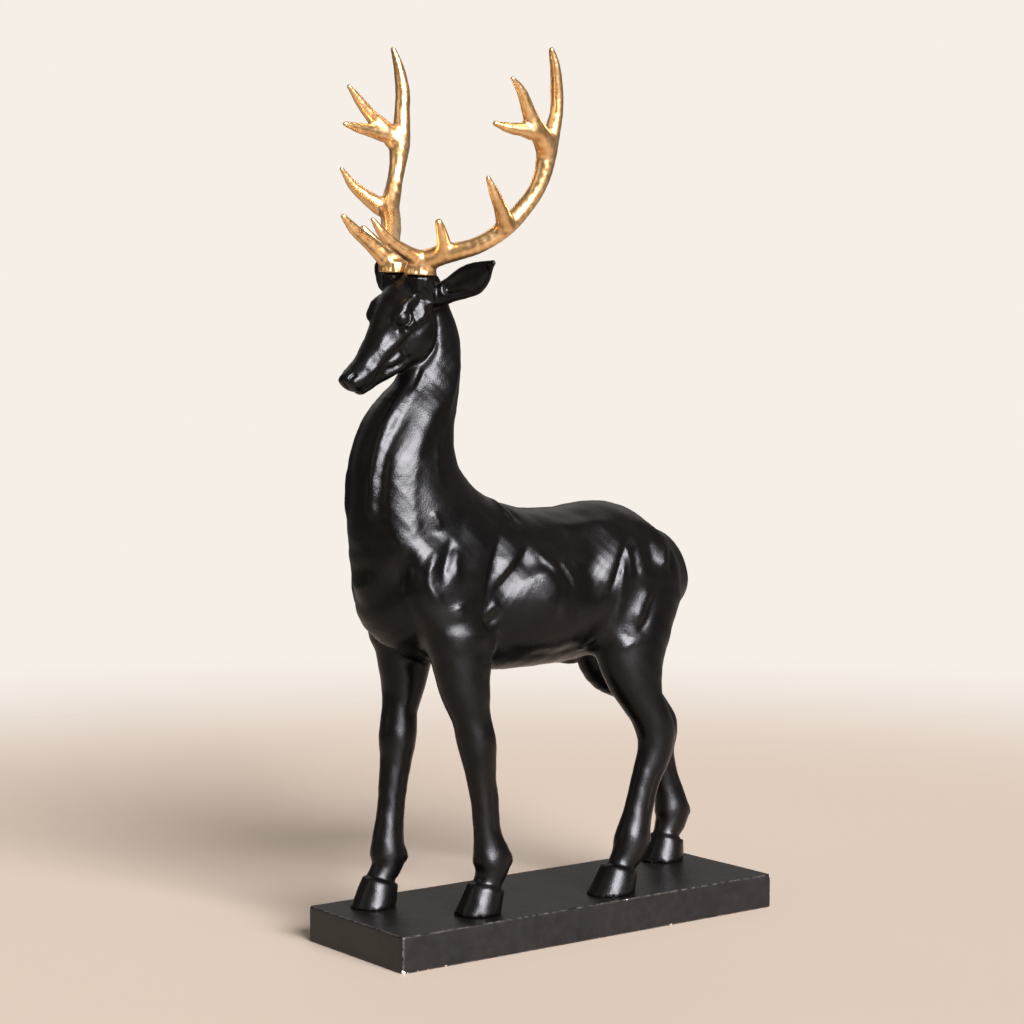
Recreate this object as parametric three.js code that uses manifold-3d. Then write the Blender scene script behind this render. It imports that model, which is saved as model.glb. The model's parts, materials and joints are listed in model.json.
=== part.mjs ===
// Standing stag figurine with gilt antlers on a rectangular plinth.
// Millimetres, +Z up. The stag faces -X and its left side is -Y.
// The origin is the middle of the plinth's underside.
import * as THREE from 'three';
import { mergeVertices } from 'three/addons/utils/BufferGeometryUtils.js';
import Module from 'manifold-3d';

const wasm = await Module();
wasm.setup();

// Plinth
const PLINTH_LENGTH = 300;
const PLINTH_WIDTH = 104;
const PLINTH_HEIGHT = 22.7;
const PLINTH_EDGE = 1.4;
const EDGE_SEGMENTS = 2;

// Clearance between touching pieces
const GAP = 0.3;

// A body landmark is x, y, z, the radius across the body and the radius along its depth.
const TRUNK = {
  rump: [103.6, 0, 237, 12, 12],
  pinBones: [97, 0, 231, 21, 26],
  croup: [85, 0, 226.5, 31.5, 35],
  loin: [68, 0, 222.5, 38.5, 42.5],
  flank: [40, 0, 226, 43, 49],
  waist: [10, 0, 222, 43, 50],
  belly: [-23, 0, 221, 45, 51],
  girth: [-55, 0, 222.5, 46, 52],
  heart: [-85, 0, 226, 44, 50],
  breast: [-108, 0, 229, 37, 43],
  keel: [-122.5, 0, 240, 27.5, 33],
  point: [-135, 0, 249, 14, 19.5],
};
const NECK = {
  root: [-98, 0, 240, 34, 44],
  base: [-106.5, 0, 266, 34, 44],
  swell: [-112.3, 0, 293, 29.5, 36.5],
  lower: [-112.2, 0, 305, 27, 34.2],
  middle: [-109.8, 0, 317, 24, 31.4],
  upper: [-104.6, 0, 330, 21.4, 26.8],
  throat: [-97.8, 0, 344, 19.2, 22],
  nape: [-93.5, 0, 362, 17, 18.6],
  atlas: [-93.5, 0, 381, 15.6, 17],
  skull: [-95, 0, 399, 12.6, 13.6],
};
const WITHERS = {
  crest: [-96, 0, 290, 14, 15],
  rise: [-84.5, 0, 278, 18, 16.4],
  top: [-63, 0, 267, 20, 15.4],
  slope: [-40, 0, 257, 20, 14],
  back: [-20, 0, 250, 14, 10],
};
const TAIL = {
  dock: [96, 0, 243, 10, 9],
  root: [104.6, 0, 234, 8, 6.5],
  bend: [104.6, 0, 221, 7, 5],
  brush: [101.6, 0, 208, 5, 4],
  tip: [98.4, 0, 198, 2.5, 2.5],
};
const SHEATH = {
  root: [-8, 0, 177.5, 5, 5],
  middle: [8, 0, 175, 5, 4.6],
  end: [18, 0, 172.6, 4.4, 4],
  tip: [24, 0, 171, 2.4, 2.2],
};

// Muscles are written for the left side and mirrored for the right.
const MUSCLES = {
  shoulder: {
    blade: [-66, -13, 270, 8, 10],
    ridge: [-82, -23, 253, 12, 18],
    swell: [-98, -29, 239, 13, 25.5],
    point: [-104, -30.5, 226, 13.5, 27],
    arm: [-99, -31, 208, 14.5, 21],
    elbow: [-94, -31.5, 190, 14, 18.5],
  },
  neckCord: {
    jaw: [-102, -16, 362, 3, 4],
    upper: [-110, -20, 338, 5, 6],
    middle: [-117, -24, 312, 6, 8],
    lower: [-120, -29, 286, 7, 9],
    base: [-118, -32.5, 262, 7, 10],
    breast: [-112, -32, 243, 5, 8],
  },
  ribs: {
    front: [-62, -28, 222, 12, 22],
    middle: [-40, -30, 214, 16, 27],
    swell: [-14, -30, 212, 14, 26],
    rear: [12, -26, 214, 10, 20],
  },
  haunch: {
    top: [50, -18, 257, 8, 9],
    swell: [60, -26, 243, 11, 16],
    middle: [64, -28, 225, 12, 20],
    lower: [60, -29, 204, 12, 18],
    stifle: [54, -30.5, 186, 10, 15],
  },
  hip: {
    front: [26, -20, 252, 8, 8],
    bone: [40, -27, 247, 10, 9],
    rear: [52, -27, 240, 8, 8],
  },
};

// Legs run from inside the body down into the hoof. No two stand in the same place.
const LEGS = {
  frontLeft: {
    arm: [-93, -30, 205, 17, 23],
    elbow: [-92.5, -31.5, 186, 15.5, 21],
    forearm: [-91.2, -32, 170, 14, 17.8],
    middle: [-88.2, -32, 157, 12.6, 15.2],
    wrist: [-85, -32, 145, 10.9, 12.4],
    knee: [-81.3, -32, 131, 11.3, 12.7],
    underKnee: [-79, -31.5, 121, 10, 11.4],
    cannonTop: [-76.6, -31, 106, 8, 9.7],
    cannon: [-74.2, -31, 94, 7.4, 9.4],
    cannonLow: [-72.4, -30.5, 78, 7, 9.1],
    ankle: [-70.4, -30, 67.5, 8, 10.2],
    fetlock: [-67.8, -30, 56, 10.4, 13.2],
    pasternTop: [-68.1, -30, 49, 9.2, 11],
    pastern: [-70.4, -29.5, 42, 8.2, 9.3],
    coronet: [-75, -29.5, 32, 9, 10],
  },
  frontRight: {
    arm: [-95, 29, 205, 16, 20.5],
    elbow: [-92.6, 30, 186, 15, 20.2],
    forearm: [-92.7, 30, 170, 14, 17],
    middle: [-94, 30, 157, 12.6, 13.8],
    wrist: [-96.4, 29.5, 145, 10.6, 11.8],
    knee: [-98.2, 29, 128, 11.2, 12.4],
    cannonTop: [-99.6, 28.7, 114, 9, 10.8],
    cannon: [-101.9, 28.3, 101, 8, 9.9],
    cannonLow: [-104.4, 27.8, 82, 7.5, 9.3],
    ankle: [-106.9, 27.2, 63, 8.9, 10.8],
    fetlock: [-106.8, 27, 54, 10, 12.4],
    pasternTop: [-107.8, 26.8, 47.5, 8.8, 10.2],
    pastern: [-112.5, 26.5, 40.5, 8, 8.8],
    coronet: [-116.5, 26, 32, 9, 10],
  },
  hindLeft: {
    hip: [58, -23, 226, 18, 32],
    thigh: [48, -27, 200, 18.5, 29],
    stifle: [44.2, -30, 180, 17.5, 26.6],
    shinTop: [45.6, -32, 163, 15.5, 21],
    shin: [51, -33.5, 147, 13, 15],
    shinLow: [55.2, -34, 140, 12.4, 13.2],
    hockTop: [59, -34.5, 132.6, 12, 13.4],
    hock: [62.2, -35, 123, 10.6, 13.6],
    hockLow: [61, -35, 112, 9.4, 12.6],
    cannonTop: [58.4, -34.8, 105, 8.7, 11.8],
    cannon: [53.5, -34.5, 94, 7.8, 10.4],
    cannonLow: [49.8, -34.2, 81, 7.6, 10.4],
    ankle: [46.6, -34, 69, 8.4, 10.8],
    fetlock: [43.2, -33.8, 57, 10.2, 12.4],
    pasternTop: [40.6, -33.6, 49, 9.6, 11.8],
    pastern: [35, -33.3, 41, 8, 9.2],
    coronet: [30, -33, 32, 9, 10],
  },
  hindRight: {
    hip: [76, 20, 228, 18, 33],
    thigh: [79, 26, 203, 19, 32],
    stifle: [73, 28, 182, 17.5, 28.4],
    shinTop: [77, 29.5, 165, 15.5, 23.4],
    shin: [91, 30, 151, 13, 16.6],
    shinLow: [99.6, 30, 142.5, 11.8, 13.8],
    hockTop: [108.6, 30, 134.5, 11, 12.2],
    heelBone: [115.8, 29.8, 126.5, 10.4, 11.6],
    hock: [122.3, 29.4, 117, 9.8, 11.8],
    hockLow: [122.6, 29, 109, 9, 11.2],
    cannonTop: [120.2, 28.4, 99, 8.4, 10.6],
    cannon: [122.4, 28, 88, 7.8, 10],
    cannonLow: [125.8, 27.6, 77, 7.6, 9.8],
    ankle: [128.4, 27.3, 68, 8.4, 11.2],
    fetlock: [130.3, 27, 57, 10.2, 13.2],
    pasternTop: [129.6, 26.8, 50, 9.4, 12],
    pastern: [124.6, 26.4, 40, 8.3, 9.2],
    coronet: [123, 26, 32, 9, 10],
  },
};

// A hoof is a coronet and a sole, each x, y, z, half width and half length. A sole is on the plinth.
const SOLE = PLINTH_HEIGHT + GAP;
const HOOFS = [
  { coronet: [-71.5, -29.4, 39.5, 9.6, 11], sole: [-78.2, -29, SOLE, 13.3, 16] },
  { coronet: [-113, 26.2, 39, 9.6, 10.6], sole: [-119, 26, SOLE, 13.3, 15] },
  { coronet: [33, -33.2, 39, 10, 11.4], sole: [26, -33, SOLE, 14, 17.2] },
  { coronet: [126, 26.2, 39, 9.8, 10.6], sole: [120.6, 26, SOLE, 13.4, 16] },
];
const CORONET_TILT = 3.5;

// The head's frame starts at the poll and runs forward, left and up. The left side hangs lower.
const POLL = new THREE.Vector3(-100, 0, 400);
const HEAD_YAW = THREE.MathUtils.degToRad(6);
const HEAD_ROLL = THREE.MathUtils.degToRad(-5);

// The face's frame lies in the head's and runs down the face, left and out of the forehead.
const FACE_START = { forward: 3, up: 8 };
const FACE_PITCH = THREE.MathUtils.degToRad(46.6);

const SKULL = {
  occiput: [-12, 0, -3, 8, 8],
  crown: [-4, 0, -0.6, 12.5, 12.2],
  forehead: [6, 0, 1.6, 15.6, 14.8],
  brow: [16, 0, 1.6, 16.8, 15],
  eyes: [27, 0, -0.4, 16.2, 13.6],
  noseRoot: [38, 0, -2.2, 13.6, 11.4],
  bridge: [50, 0, -3.4, 11, 9.6],
  muzzle: [62, 0, -4, 9.8, 8.2],
  nostrils: [71, 0, -3.2, 9.6, 7.6],
  lip: [76, 0, -1.6, 8.4, 6.8],
  nose: [79, 0, -1.4, 5, 4.2],
};
const JAW = {
  hinge: [12, 0, -14, 10, 8],
  angle: [20, 0, -17.6, 12.3, 11],
  cheek: [31, 0, -18, 13, 11],
  mandible: [41, 0, -16.2, 11, 9.6],
  bar: [52, 0, -13.6, 8.6, 8],
  mouth: [62, 0, -11.2, 7.4, 6.4],
  lip: [70, 0, -9.6, 7, 5.6],
  chin: [76, 0, -8.2, 5.4, 4.2],
};
const ORBIT = {
  rear: [18, 12.3, 3.2, 4, 6],
  ridge: [25, 14, 4.6, 5.6, 8],
  tearDuct: [33, 12.5, 3, 4, 6],
};
const MOUTH = {
  corner: [33, 11.2, -9.5, 1.2, 1],
  cheek: [50, 9.4, -8.4, 1.2, 1],
  lip: [64, 8.3, -8.2, 1.2, 1],
  front: [76, 6.2, -6.5, 1.2, 1],
};
const EYE = { at: [28.4, 15.2, 5], radii: [4, 3, 4] };
const NOSTRIL = { at: [76.4, 6.6, 3], radii: [3, 2, 1.6] };

// Ears, pedicles and antlers are in the head's frame, with two radii.
const EARS = {
  left: {
    root: [0, 15, 6, 5.5, 5.5],
    neck: [-3, 22, 10, 7.2, 5],
    cup: [-6.6, 28, 14, 9.2, 4.6],
    middle: [-9.5, 34, 17.5, 10, 4],
    blade: [-12, 39, 21.4, 8.6, 3.2],
    point: [-13.4, 43, 24.6, 5.6, 2.4],
    tip: [-14.4, 46.4, 27.2, 1.7, 1.2],
  },
  right: {
    root: [6, 15, 6, 6, 6],
    neck: [6, 21.5, 9.5, 7.5, 5],
    cup: [5, 27, 12.6, 9, 4.4],
    middle: [4, 32.5, 15.2, 9.6, 3.8],
    blade: [2.6, 38, 17.6, 8.6, 3],
    point: [1.2, 42.5, 19.6, 6, 2.4],
    tip: [0, 46, 21.6, 1.6, 1.2],
  },
};
const EAR_CUP = 0.72;
const PEDICLE = {
  root: [9, 11, 0, 8, 8],
  stalk: [12, 11.6, 9, 8.4, 8.4],
  top: [13.5, 12, 19, 9, 9],
};
const BURR = { forward: 13.5, left: 12, up: 18.3, radius: 9.2 };
const SEAT = { radius: 10.2, height: 4 };
const burrAt = [BURR.forward, BURR.left, BURR.up, BURR.radius, BURR.radius];

const ANTLERS = {
  left: {
    beam: {
      burr: burrAt,
      stem: [BURR.forward, BURR.left, 21.5, 8.6, 8.6],
      browFork: [13, 16.5, 26.5, 7, 7],
      spurFork: [10.7, 24, 30, 6.2, 6.2],
      low: [6, 35, 33.6, 5.5, 5.5],
      bend: [-0.8, 45, 37.8, 5.1, 5.1],
      rise: [-8, 53, 44.4, 5.1, 5.1],
      midFork: [-14.5, 58.3, 52.3, 5.5, 5.5],
      overFork: [-21.7, 61.5, 61.5, 5.2, 5.2],
      shaft: [-27.8, 64.9, 72, 4.9, 4.9],
      shaftTop: [-31.2, 67.3, 84, 5.3, 5.3],
      crownFork: [-32.7, 68, 97, 6.4, 5.8],
      crown: [-34.9, 68.8, 108, 5, 5],
      spire: [-36, 70.3, 120, 4, 4],
      spireMiddle: [-34.6, 71, 132, 3.8, 3.8],
      spireTop: [-30.6, 72.2, 146.5, 3.1, 3.1],
      tip: [-25.2, 73.1, 157, 1.4, 1.4],
    },
    brow: {
      root: [13.5, 14, 26, 6, 6],
      low: [25, 14.5, 30.4, 4.6, 4.6],
      middle: [36.3, 15, 34.9, 3.8, 3.8],
      high: [47, 14.8, 41.4, 3.1, 3.1],
      tip: [55.6, 14, 50.4, 1.2, 1.2],
    },
    spur: {
      root: [8.5, 27.5, 31, 5.8, 5.8],
      low: [11.5, 30, 35.5, 4.5, 4.5],
      middle: [15.6, 33, 42, 3.6, 3.6],
      high: [20, 34.5, 48.6, 2.7, 2.7],
      tip: [22, 35, 52, 1.6, 1.6],
    },
    middleTine: {
      root: [-13, 57.5, 50, 5, 5],
      low: [-9.2, 60, 52.5, 5.2, 5.2],
      middle: [-1.5, 64, 60.5, 4.1, 4.1],
      high: [7.4, 67, 69.8, 3, 3],
      tip: [14.6, 68, 79, 1.1, 1.1],
    },
    crownTine: {
      root: [-33, 69, 96.4, 7.2, 7.2],
      low: [-24.5, 71, 104.4, 6, 6],
      fork: [-16.2, 72.4, 111, 5.2, 5.2],
      middle: [-10.6, 73, 118.6, 4.1, 4.1],
      high: [-3, 74.4, 129, 3, 3],
      tip: [6.4, 75, 137, 1.1, 1.1],
    },
    crownFront: {
      root: [-19, 72, 106.2, 5.6, 5.6],
      low: [-9, 71.7, 107.6, 4.2, 4.2],
      middle: [1.5, 70.5, 107.9, 3.2, 3.2],
      tip: [13.4, 69, 110, 1.3, 1.3],
    },
  },
  right: {
    beam: {
      burr: burrAt,
      stem: [BURR.forward, BURR.left, 21.5, 8.6, 8.6],
      browFork: [12, 16.5, 27, 7.6, 7.6],
      spurFork: [8, 24, 32, 6.8, 6.8],
      low: [1.4, 32.5, 37.5, 6.3, 6.3],
      bend: [-7, 42, 43.5, 6.3, 6.3],
      rise: [-14, 51, 50, 6.3, 6.3],
      midFork: [-18.4, 58, 57.5, 6.2, 6.2],
      overFork: [-23.6, 62.3, 66, 5.6, 5.6],
      shaft: [-27.8, 65.5, 75, 5, 5],
      shaftTop: [-31, 67.3, 86, 5.4, 5.4],
      crownFork: [-32.3, 68, 98, 6.8, 6.4],
      crown: [-33.6, 68.8, 108, 5.6, 5.6],
      spire: [-34.6, 70.3, 120, 4.9, 4.9],
      spireMiddle: [-34.6, 71, 132, 4.6, 4.6],
      spireTop: [-31.4, 72.2, 146.5, 3.4, 3.4],
      tip: [-26, 73.1, 159, 1.4, 1.4],
    },
    brow: {
      root: [13.5, 14, 24, 6.4, 6.4],
      low: [21, 14, 27.4, 5.4, 5.4],
      middle: [31, 15, 34.6, 4.5, 4.5],
      high: [45, 14.8, 43, 3.4, 3.4],
      tip: [55.6, 14, 51.2, 1.3, 1.3],
    },
    spur: {
      root: [8.5, 26, 31, 5.8, 5.8],
      low: [13, 29, 33, 4.6, 4.6],
      middle: [18.5, 32.5, 39, 3.6, 3.6],
      tip: [22.4, 35, 45, 1.6, 1.6],
    },
    middleTine: {
      root: [-21, 60, 57.6, 7.2, 7.2],
      low: [-15, 62.5, 57.8, 6, 6],
      middle: [-6, 65, 62.6, 4.6, 4.6],
      high: [5, 67.3, 70, 3.2, 3.2],
      tip: [15, 68, 80.6, 1.1, 1.1],
    },
    crownTine: {
      root: [-32.4, 69, 98, 7.4, 7.4],
      low: [-24, 71.5, 105.6, 5.8, 5.8],
      fork: [-17, 72.8, 110.8, 4.8, 4.8],
      middle: [-10, 73.5, 116, 3.9, 3.9],
      high: [-1.6, 74.5, 124, 3, 3],
      tip: [7, 75, 132.4, 1.2, 1.2],
    },
    crownFront: {
      root: [-24, 71.5, 103.4, 5.6, 5.6],
      low: [-12, 71, 105, 4.3, 4.3],
      middle: [1, 70, 106.2, 3.2, 3.2],
      tip: [13.8, 69, 108, 1.3, 1.3],
    },
  },
};

// Facets around each limb, and rings along it where that isn't one for each landmark
const FACETS = { trunk: 22, neck: 20, leg: 12, muscle: 12, small: 8, skull: 16, jaw: 12, ear: 10, hoof: 16, beam: 9, tine: 7 };
const RINGS = { trunk: 16, neck: 13, skull: 14, jaw: 9, ear: 9, beam: 20 };

const headForward = new THREE.Vector3(-Math.cos(HEAD_YAW), -Math.sin(HEAD_YAW), 0);
const levelLeft = new THREE.Vector3(Math.sin(HEAD_YAW), -Math.cos(HEAD_YAW), 0);
const headLeft = levelLeft.applyAxisAngle(headForward, HEAD_ROLL);
const headUp = new THREE.Vector3(0, 0, 1).applyAxisAngle(headForward, HEAD_ROLL);

function headPoint([forward, left, up, ...radii], side = 1) {
  const point = POLL.clone().addScaledVector(headForward, forward);
  point.addScaledVector(headLeft, side * left).addScaledVector(headUp, up);
  return [...point.toArray(), ...radii];
}

function facePoint([along, left, out, ...radii], side = 1) {
  const forward = FACE_START.forward + along * Math.cos(FACE_PITCH) + out * Math.sin(FACE_PITCH);
  const up = FACE_START.up - along * Math.sin(FACE_PITCH) + out * Math.cos(FACE_PITCH);
  return headPoint([forward, left, up, ...radii], side);
}

const onHead = (marks, side) => Object.values(marks).map((mark) => headPoint(mark, side));
const onFace = (marks, side) => Object.values(marks).map((mark) => facePoint(mark, side));
const mirrored = (rows) => rows.map(([x, y, ...rest]) => [x, -y, ...rest]);

function solid(geometry) {
  geometry.deleteAttribute('normal');
  geometry.deleteAttribute('uv');
  const merged = mergeVertices(geometry);
  return new wasm.Manifold(new wasm.Mesh({
    numProp: 3,
    vertProperties: merged.attributes.position.array,
    triVerts: new Uint32Array(merged.index.array),
  }));
}

function geometryOf(manifold) {
  const mesh = manifold.getMesh();
  const geometry = new THREE.BufferGeometry();
  geometry.setAttribute('position', new THREE.BufferAttribute(mesh.vertProperties, 3));
  geometry.setIndex(new THREE.BufferAttribute(mesh.triVerts, 1));
  return geometry;
}

const joined = (parts) => parts.reduce((whole, part) => whole.add(part));

// A cylinder is bent along a smooth spine and takes an ellipse at each landmark.
function limb(rows, { facets = FACETS.small, rings = rows.length - 1, across = new THREE.Vector3(0, 1, 0) } = {}) {
  const smooth = (points) => new THREE.CatmullRomCurve3(points, false, 'catmullrom');
  const spine = smooth(rows.map((row) => new THREE.Vector3(...row.slice(0, 3))));
  const girth = smooth(rows.map((row) => new THREE.Vector3(row[3], row[4], 0)));
  const geometry = new THREE.CylinderGeometry(1, 1, 1, facets, rings);
  const position = geometry.attributes.position;
  for (let i = 0; i < position.count; i += 1) {
    const along = THREE.MathUtils.clamp(0.5 - position.getY(i), 0, 1);
    const tangent = spine.getTangent(along);
    const side = across.clone().addScaledVector(tangent, -across.dot(tangent)).normalize();
    const depth = new THREE.Vector3().crossVectors(tangent, side);
    const radii = girth.getPoint(along);
    const vertex = spine.getPoint(along).addScaledVector(side, position.getX(i) * radii.x);
    vertex.addScaledVector(depth, position.getZ(i) * radii.y);
    position.setXYZ(i, ...vertex.toArray());
  }
  return solid(geometry);
}

function ellipsoid(centre, radii) {
  const geometry = new THREE.SphereGeometry(1, FACETS.small, FACETS.small);
  geometry.scale(...radii);
  geometry.applyMatrix4(new THREE.Matrix4().makeBasis(headForward, headLeft, headUp));
  geometry.translate(...centre);
  return solid(geometry);
}

// A hoof widens from a tilted coronet to a level sole.
function hoof({ coronet, sole }) {
  const geometry = new THREE.CylinderGeometry(1, 1, 1, FACETS.hoof, 1);
  const position = geometry.attributes.position;
  for (let i = 0; i < position.count; i += 1) {
    const [across, drop, back] = [position.getX(i), 0.5 - position.getY(i), position.getZ(i)];
    const [x, y, z, halfWidth, halfLength] = coronet.map((value, k) => THREE.MathUtils.lerp(value, sole[k], drop));
    const tilt = CORONET_TILT * back * (1 - drop);
    position.setXYZ(i, x + back * halfLength, y + across * halfWidth, z - tilt);
  }
  return solid(geometry);
}

function torso() {
  const parts = [
    limb(Object.values(TRUNK), { facets: FACETS.trunk, rings: RINGS.trunk }),
    limb(Object.values(NECK), { facets: FACETS.neck, rings: RINGS.neck }),
    limb(Object.values(WITHERS), { facets: FACETS.muscle }),
    limb(Object.values(TAIL)),
    limb(Object.values(SHEATH)),
  ];
  for (const muscle of Object.values(MUSCLES)) {
    const rows = Object.values(muscle);
    parts.push(limb(rows, { facets: FACETS.muscle }), limb(mirrored(rows), { facets: FACETS.muscle }));
  }
  return joined(parts);
}

function legs() {
  const limbs = Object.values(LEGS).map((marks) => limb(Object.values(marks), { facets: FACETS.leg }));
  return joined([...limbs, ...HOOFS.map(hoof)]);
}

// The hollow of an ear faces forward.
function ear(marks, side) {
  const { cup, middle, blade, point } = marks;
  const hollow = [cup, middle, blade, point].map(([forward, left, up, wide, deep]) => (
    [forward + deep, left, up, wide * EAR_CUP, deep]
  ));
  const shell = limb(onHead(marks, side), { facets: FACETS.ear, rings: RINGS.ear, across: headUp });
  return shell.subtract(limb(onHead(hollow, side), { across: headUp }));
}

function head() {
  const parts = [
    limb(onFace(SKULL), { facets: FACETS.skull, rings: RINGS.skull, across: headLeft }),
    limb(onFace(JAW), { facets: FACETS.jaw, rings: RINGS.jaw, across: headLeft }),
    ear(EARS.left, 1),
    ear(EARS.right, -1),
  ];
  for (const side of [1, -1]) {
    parts.push(limb(onFace(ORBIT, side), { facets: FACETS.ear, rings: 4, across: headLeft }));
    parts.push(limb(onHead(PEDICLE, side), { facets: FACETS.jaw, across: headLeft }));
    parts.push(ellipsoid(facePoint(EYE.at, side), EYE.radii));
  }
  return joined(parts);
}

// The top of a pedicle is cut flat for its burr.
function antlerSeat(side) {
  const bottom = [BURR.forward, BURR.left, BURR.up - GAP, SEAT.radius, SEAT.radius];
  const top = [BURR.forward, BURR.left, BURR.up + SEAT.height, SEAT.radius, SEAT.radius];
  return limb([headPoint(bottom, side), headPoint(top, side)], { facets: FACETS.hoof, across: headLeft });
}

function stag() {
  let figure = joined([torso(), legs(), head()]);
  for (const side of [1, -1]) {
    figure = figure.subtract(antlerSeat(side));
    figure = figure.subtract(ellipsoid(facePoint(NOSTRIL.at, side), NOSTRIL.radii));
    figure = figure.subtract(limb(onFace(MOUTH, side), { facets: 6, rings: 6, across: headLeft }));
  }
  return figure;
}

function antler({ beam, ...tines }, side) {
  const across = headLeft.clone().add(headForward);
  const shaft = limb(onHead(beam, side), { facets: FACETS.beam, rings: RINGS.beam, across: headForward });
  const points = Object.values(tines).map((tine) => limb(onHead(tine, side), { facets: FACETS.tine, across }));
  return joined([shaft, ...points]);
}

function plinth() {
  const x = PLINTH_LENGTH / 2 - PLINTH_EDGE;
  const y = PLINTH_WIDTH / 2 - PLINTH_EDGE;
  const outline = new THREE.Shape([[-x, -y], [x, -y], [x, y], [-x, y]].map((corner) => new THREE.Vector2(...corner)));
  const geometry = new THREE.ExtrudeGeometry(outline, {
    depth: PLINTH_HEIGHT - 2 * PLINTH_EDGE,
    bevelThickness: PLINTH_EDGE,
    bevelSize: PLINTH_EDGE,
    bevelSegments: EDGE_SEGMENTS,
  });
  return geometry.translate(0, 0, PLINTH_EDGE);
}

const satinBlack = new THREE.MeshStandardMaterial({ color: 0x0c0b0b, roughness: 0.38, metalness: 0 });
const mattBlack = new THREE.MeshStandardMaterial({ color: 0x100e0d, roughness: 0.5, metalness: 0 });
const gold = new THREE.MeshStandardMaterial({ color: 0xc9963f, roughness: 0.32, metalness: 1 });

const figurine = new THREE.Group();

function place(name, geometry, material) {
  const mesh = new THREE.Mesh(geometry, material);
  mesh.name = name;
  figurine.add(mesh);
}

place('plinth', plinth(), mattBlack);
place('stag', geometryOf(stag()), satinBlack);
place('antler_left', geometryOf(antler(ANTLERS.left, 1)), gold);
place('antler_right', geometryOf(antler(ANTLERS.right, -1)), gold);

export default figurine;
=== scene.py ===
# A standing stag with gilt antlers on a plinth: the fine surface and finish of each piece.
# Landmarks are millimetres in the part's frame: +Z up, the stag faces -X and its left side is -Y.
# Each piece is sculpted as a distance field of smoothly joined limbs, and meshed in metres.
import json
import math

import bmesh
import bpy
import numpy as np
from mathutils import Matrix, Vector

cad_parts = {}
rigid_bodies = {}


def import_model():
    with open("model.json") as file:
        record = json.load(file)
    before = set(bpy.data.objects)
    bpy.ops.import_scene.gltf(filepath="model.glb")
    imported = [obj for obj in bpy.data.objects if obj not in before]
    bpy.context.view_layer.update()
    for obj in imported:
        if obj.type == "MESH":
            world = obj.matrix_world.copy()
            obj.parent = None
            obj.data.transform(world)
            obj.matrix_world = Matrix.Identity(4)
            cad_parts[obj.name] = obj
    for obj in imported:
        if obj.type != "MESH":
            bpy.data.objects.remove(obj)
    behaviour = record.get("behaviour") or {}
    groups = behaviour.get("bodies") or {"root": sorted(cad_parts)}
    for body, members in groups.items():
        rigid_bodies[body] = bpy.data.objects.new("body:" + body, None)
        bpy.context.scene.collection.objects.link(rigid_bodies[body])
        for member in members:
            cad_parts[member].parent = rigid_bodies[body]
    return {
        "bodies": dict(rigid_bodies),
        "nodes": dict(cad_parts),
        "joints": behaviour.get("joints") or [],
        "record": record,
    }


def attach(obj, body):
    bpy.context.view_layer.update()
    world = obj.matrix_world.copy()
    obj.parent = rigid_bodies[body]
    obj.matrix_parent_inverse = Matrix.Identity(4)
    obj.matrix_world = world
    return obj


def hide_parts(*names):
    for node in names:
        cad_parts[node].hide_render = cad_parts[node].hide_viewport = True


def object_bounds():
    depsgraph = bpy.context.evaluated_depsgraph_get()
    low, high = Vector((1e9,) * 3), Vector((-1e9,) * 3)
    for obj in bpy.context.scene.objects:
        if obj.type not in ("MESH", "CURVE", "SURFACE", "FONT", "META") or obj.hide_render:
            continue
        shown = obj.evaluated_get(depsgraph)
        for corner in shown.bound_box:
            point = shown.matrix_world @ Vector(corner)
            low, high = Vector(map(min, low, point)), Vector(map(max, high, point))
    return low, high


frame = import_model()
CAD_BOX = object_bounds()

MM = 0.001
LEFT_OF_BODY = np.array([0.0, 1.0, 0.0])

# A landmark is x, y, z, the radius across and the radius along the depth. A round one has a single radius.
# Marks of the ears and antlers run forward, left and up from the poll, and those of the face run down it,
# left and out of it.
BURR = {"forward": 13.5, "left": 12, "up": 18.3, "radius": 9.2}
BURR_AT = (BURR["forward"], BURR["left"], BURR["up"], BURR["radius"])
TRUNK = {
    "rump": (102, 0, 231.5, 15, 15.4),
    "pinBones": (96, 0, 229, 22, 25),
    "croup": (85, 0, 226, 31, 34.2),
    "loin": (68, 0, 222.5, 38.5, 41.6),
    "flank": (40, 0, 226, 43, 49),
    "waist": (10, 0, 222, 43, 50),
    "belly": (-23, 0, 221, 45, 51),
    "girth": (-55, 0, 222.5, 46, 52),
    "heart": (-85, 0, 226, 44, 50),
    "breast": (-108, 0, 229, 37, 43),
    "keel": (-122.5, 0, 240, 27.5, 33),
    "point": (-135, 0, 249, 14, 19.5),
}
NECK = {
    "root": (-98, 0, 240, 34, 44),
    "base": (-106.5, 0, 266, 34, 44),
    "swell": (-112.3, 0, 293, 29.5, 36.5),
    "lower": (-112.2, 0, 305, 27, 34.2),
    "middle": (-109.8, 0, 317, 24, 31.4),
    "upper": (-104.6, 0, 330, 21.4, 26.8),
    "throat": (-97.8, 0, 344, 18, 22),
    "nape": (-93, 0, 362, 14.4, 20),
    "atlas": (-93, 0, 379, 12.8, 19.2),
    "skull": (-95.6, 0, 393, 10.8, 16),
    "poll": (-97, 0, 406, 9, 12.5),
}
WITHERS = {
    "crest": (-96, 0, 290, 14, 15),
    "rise": (-84.5, 0, 278, 18, 16.4),
    "top": (-63, 0, 267, 20, 15.4),
    "slope": (-40, 0, 257, 20, 14),
    "back": (-20, 0, 250, 14, 10),
}
TAIL = {
    "dock": (90, 0, 236, 10, 8),
    "root": (102.4, 0, 234, 9, 7.4),
    "bend": (101, 0, 221, 7.4, 5.4),
    "brush": (98.6, 0, 208, 5, 4),
    "tip": (95.6, 0, 198, 2.5),
}
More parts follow.
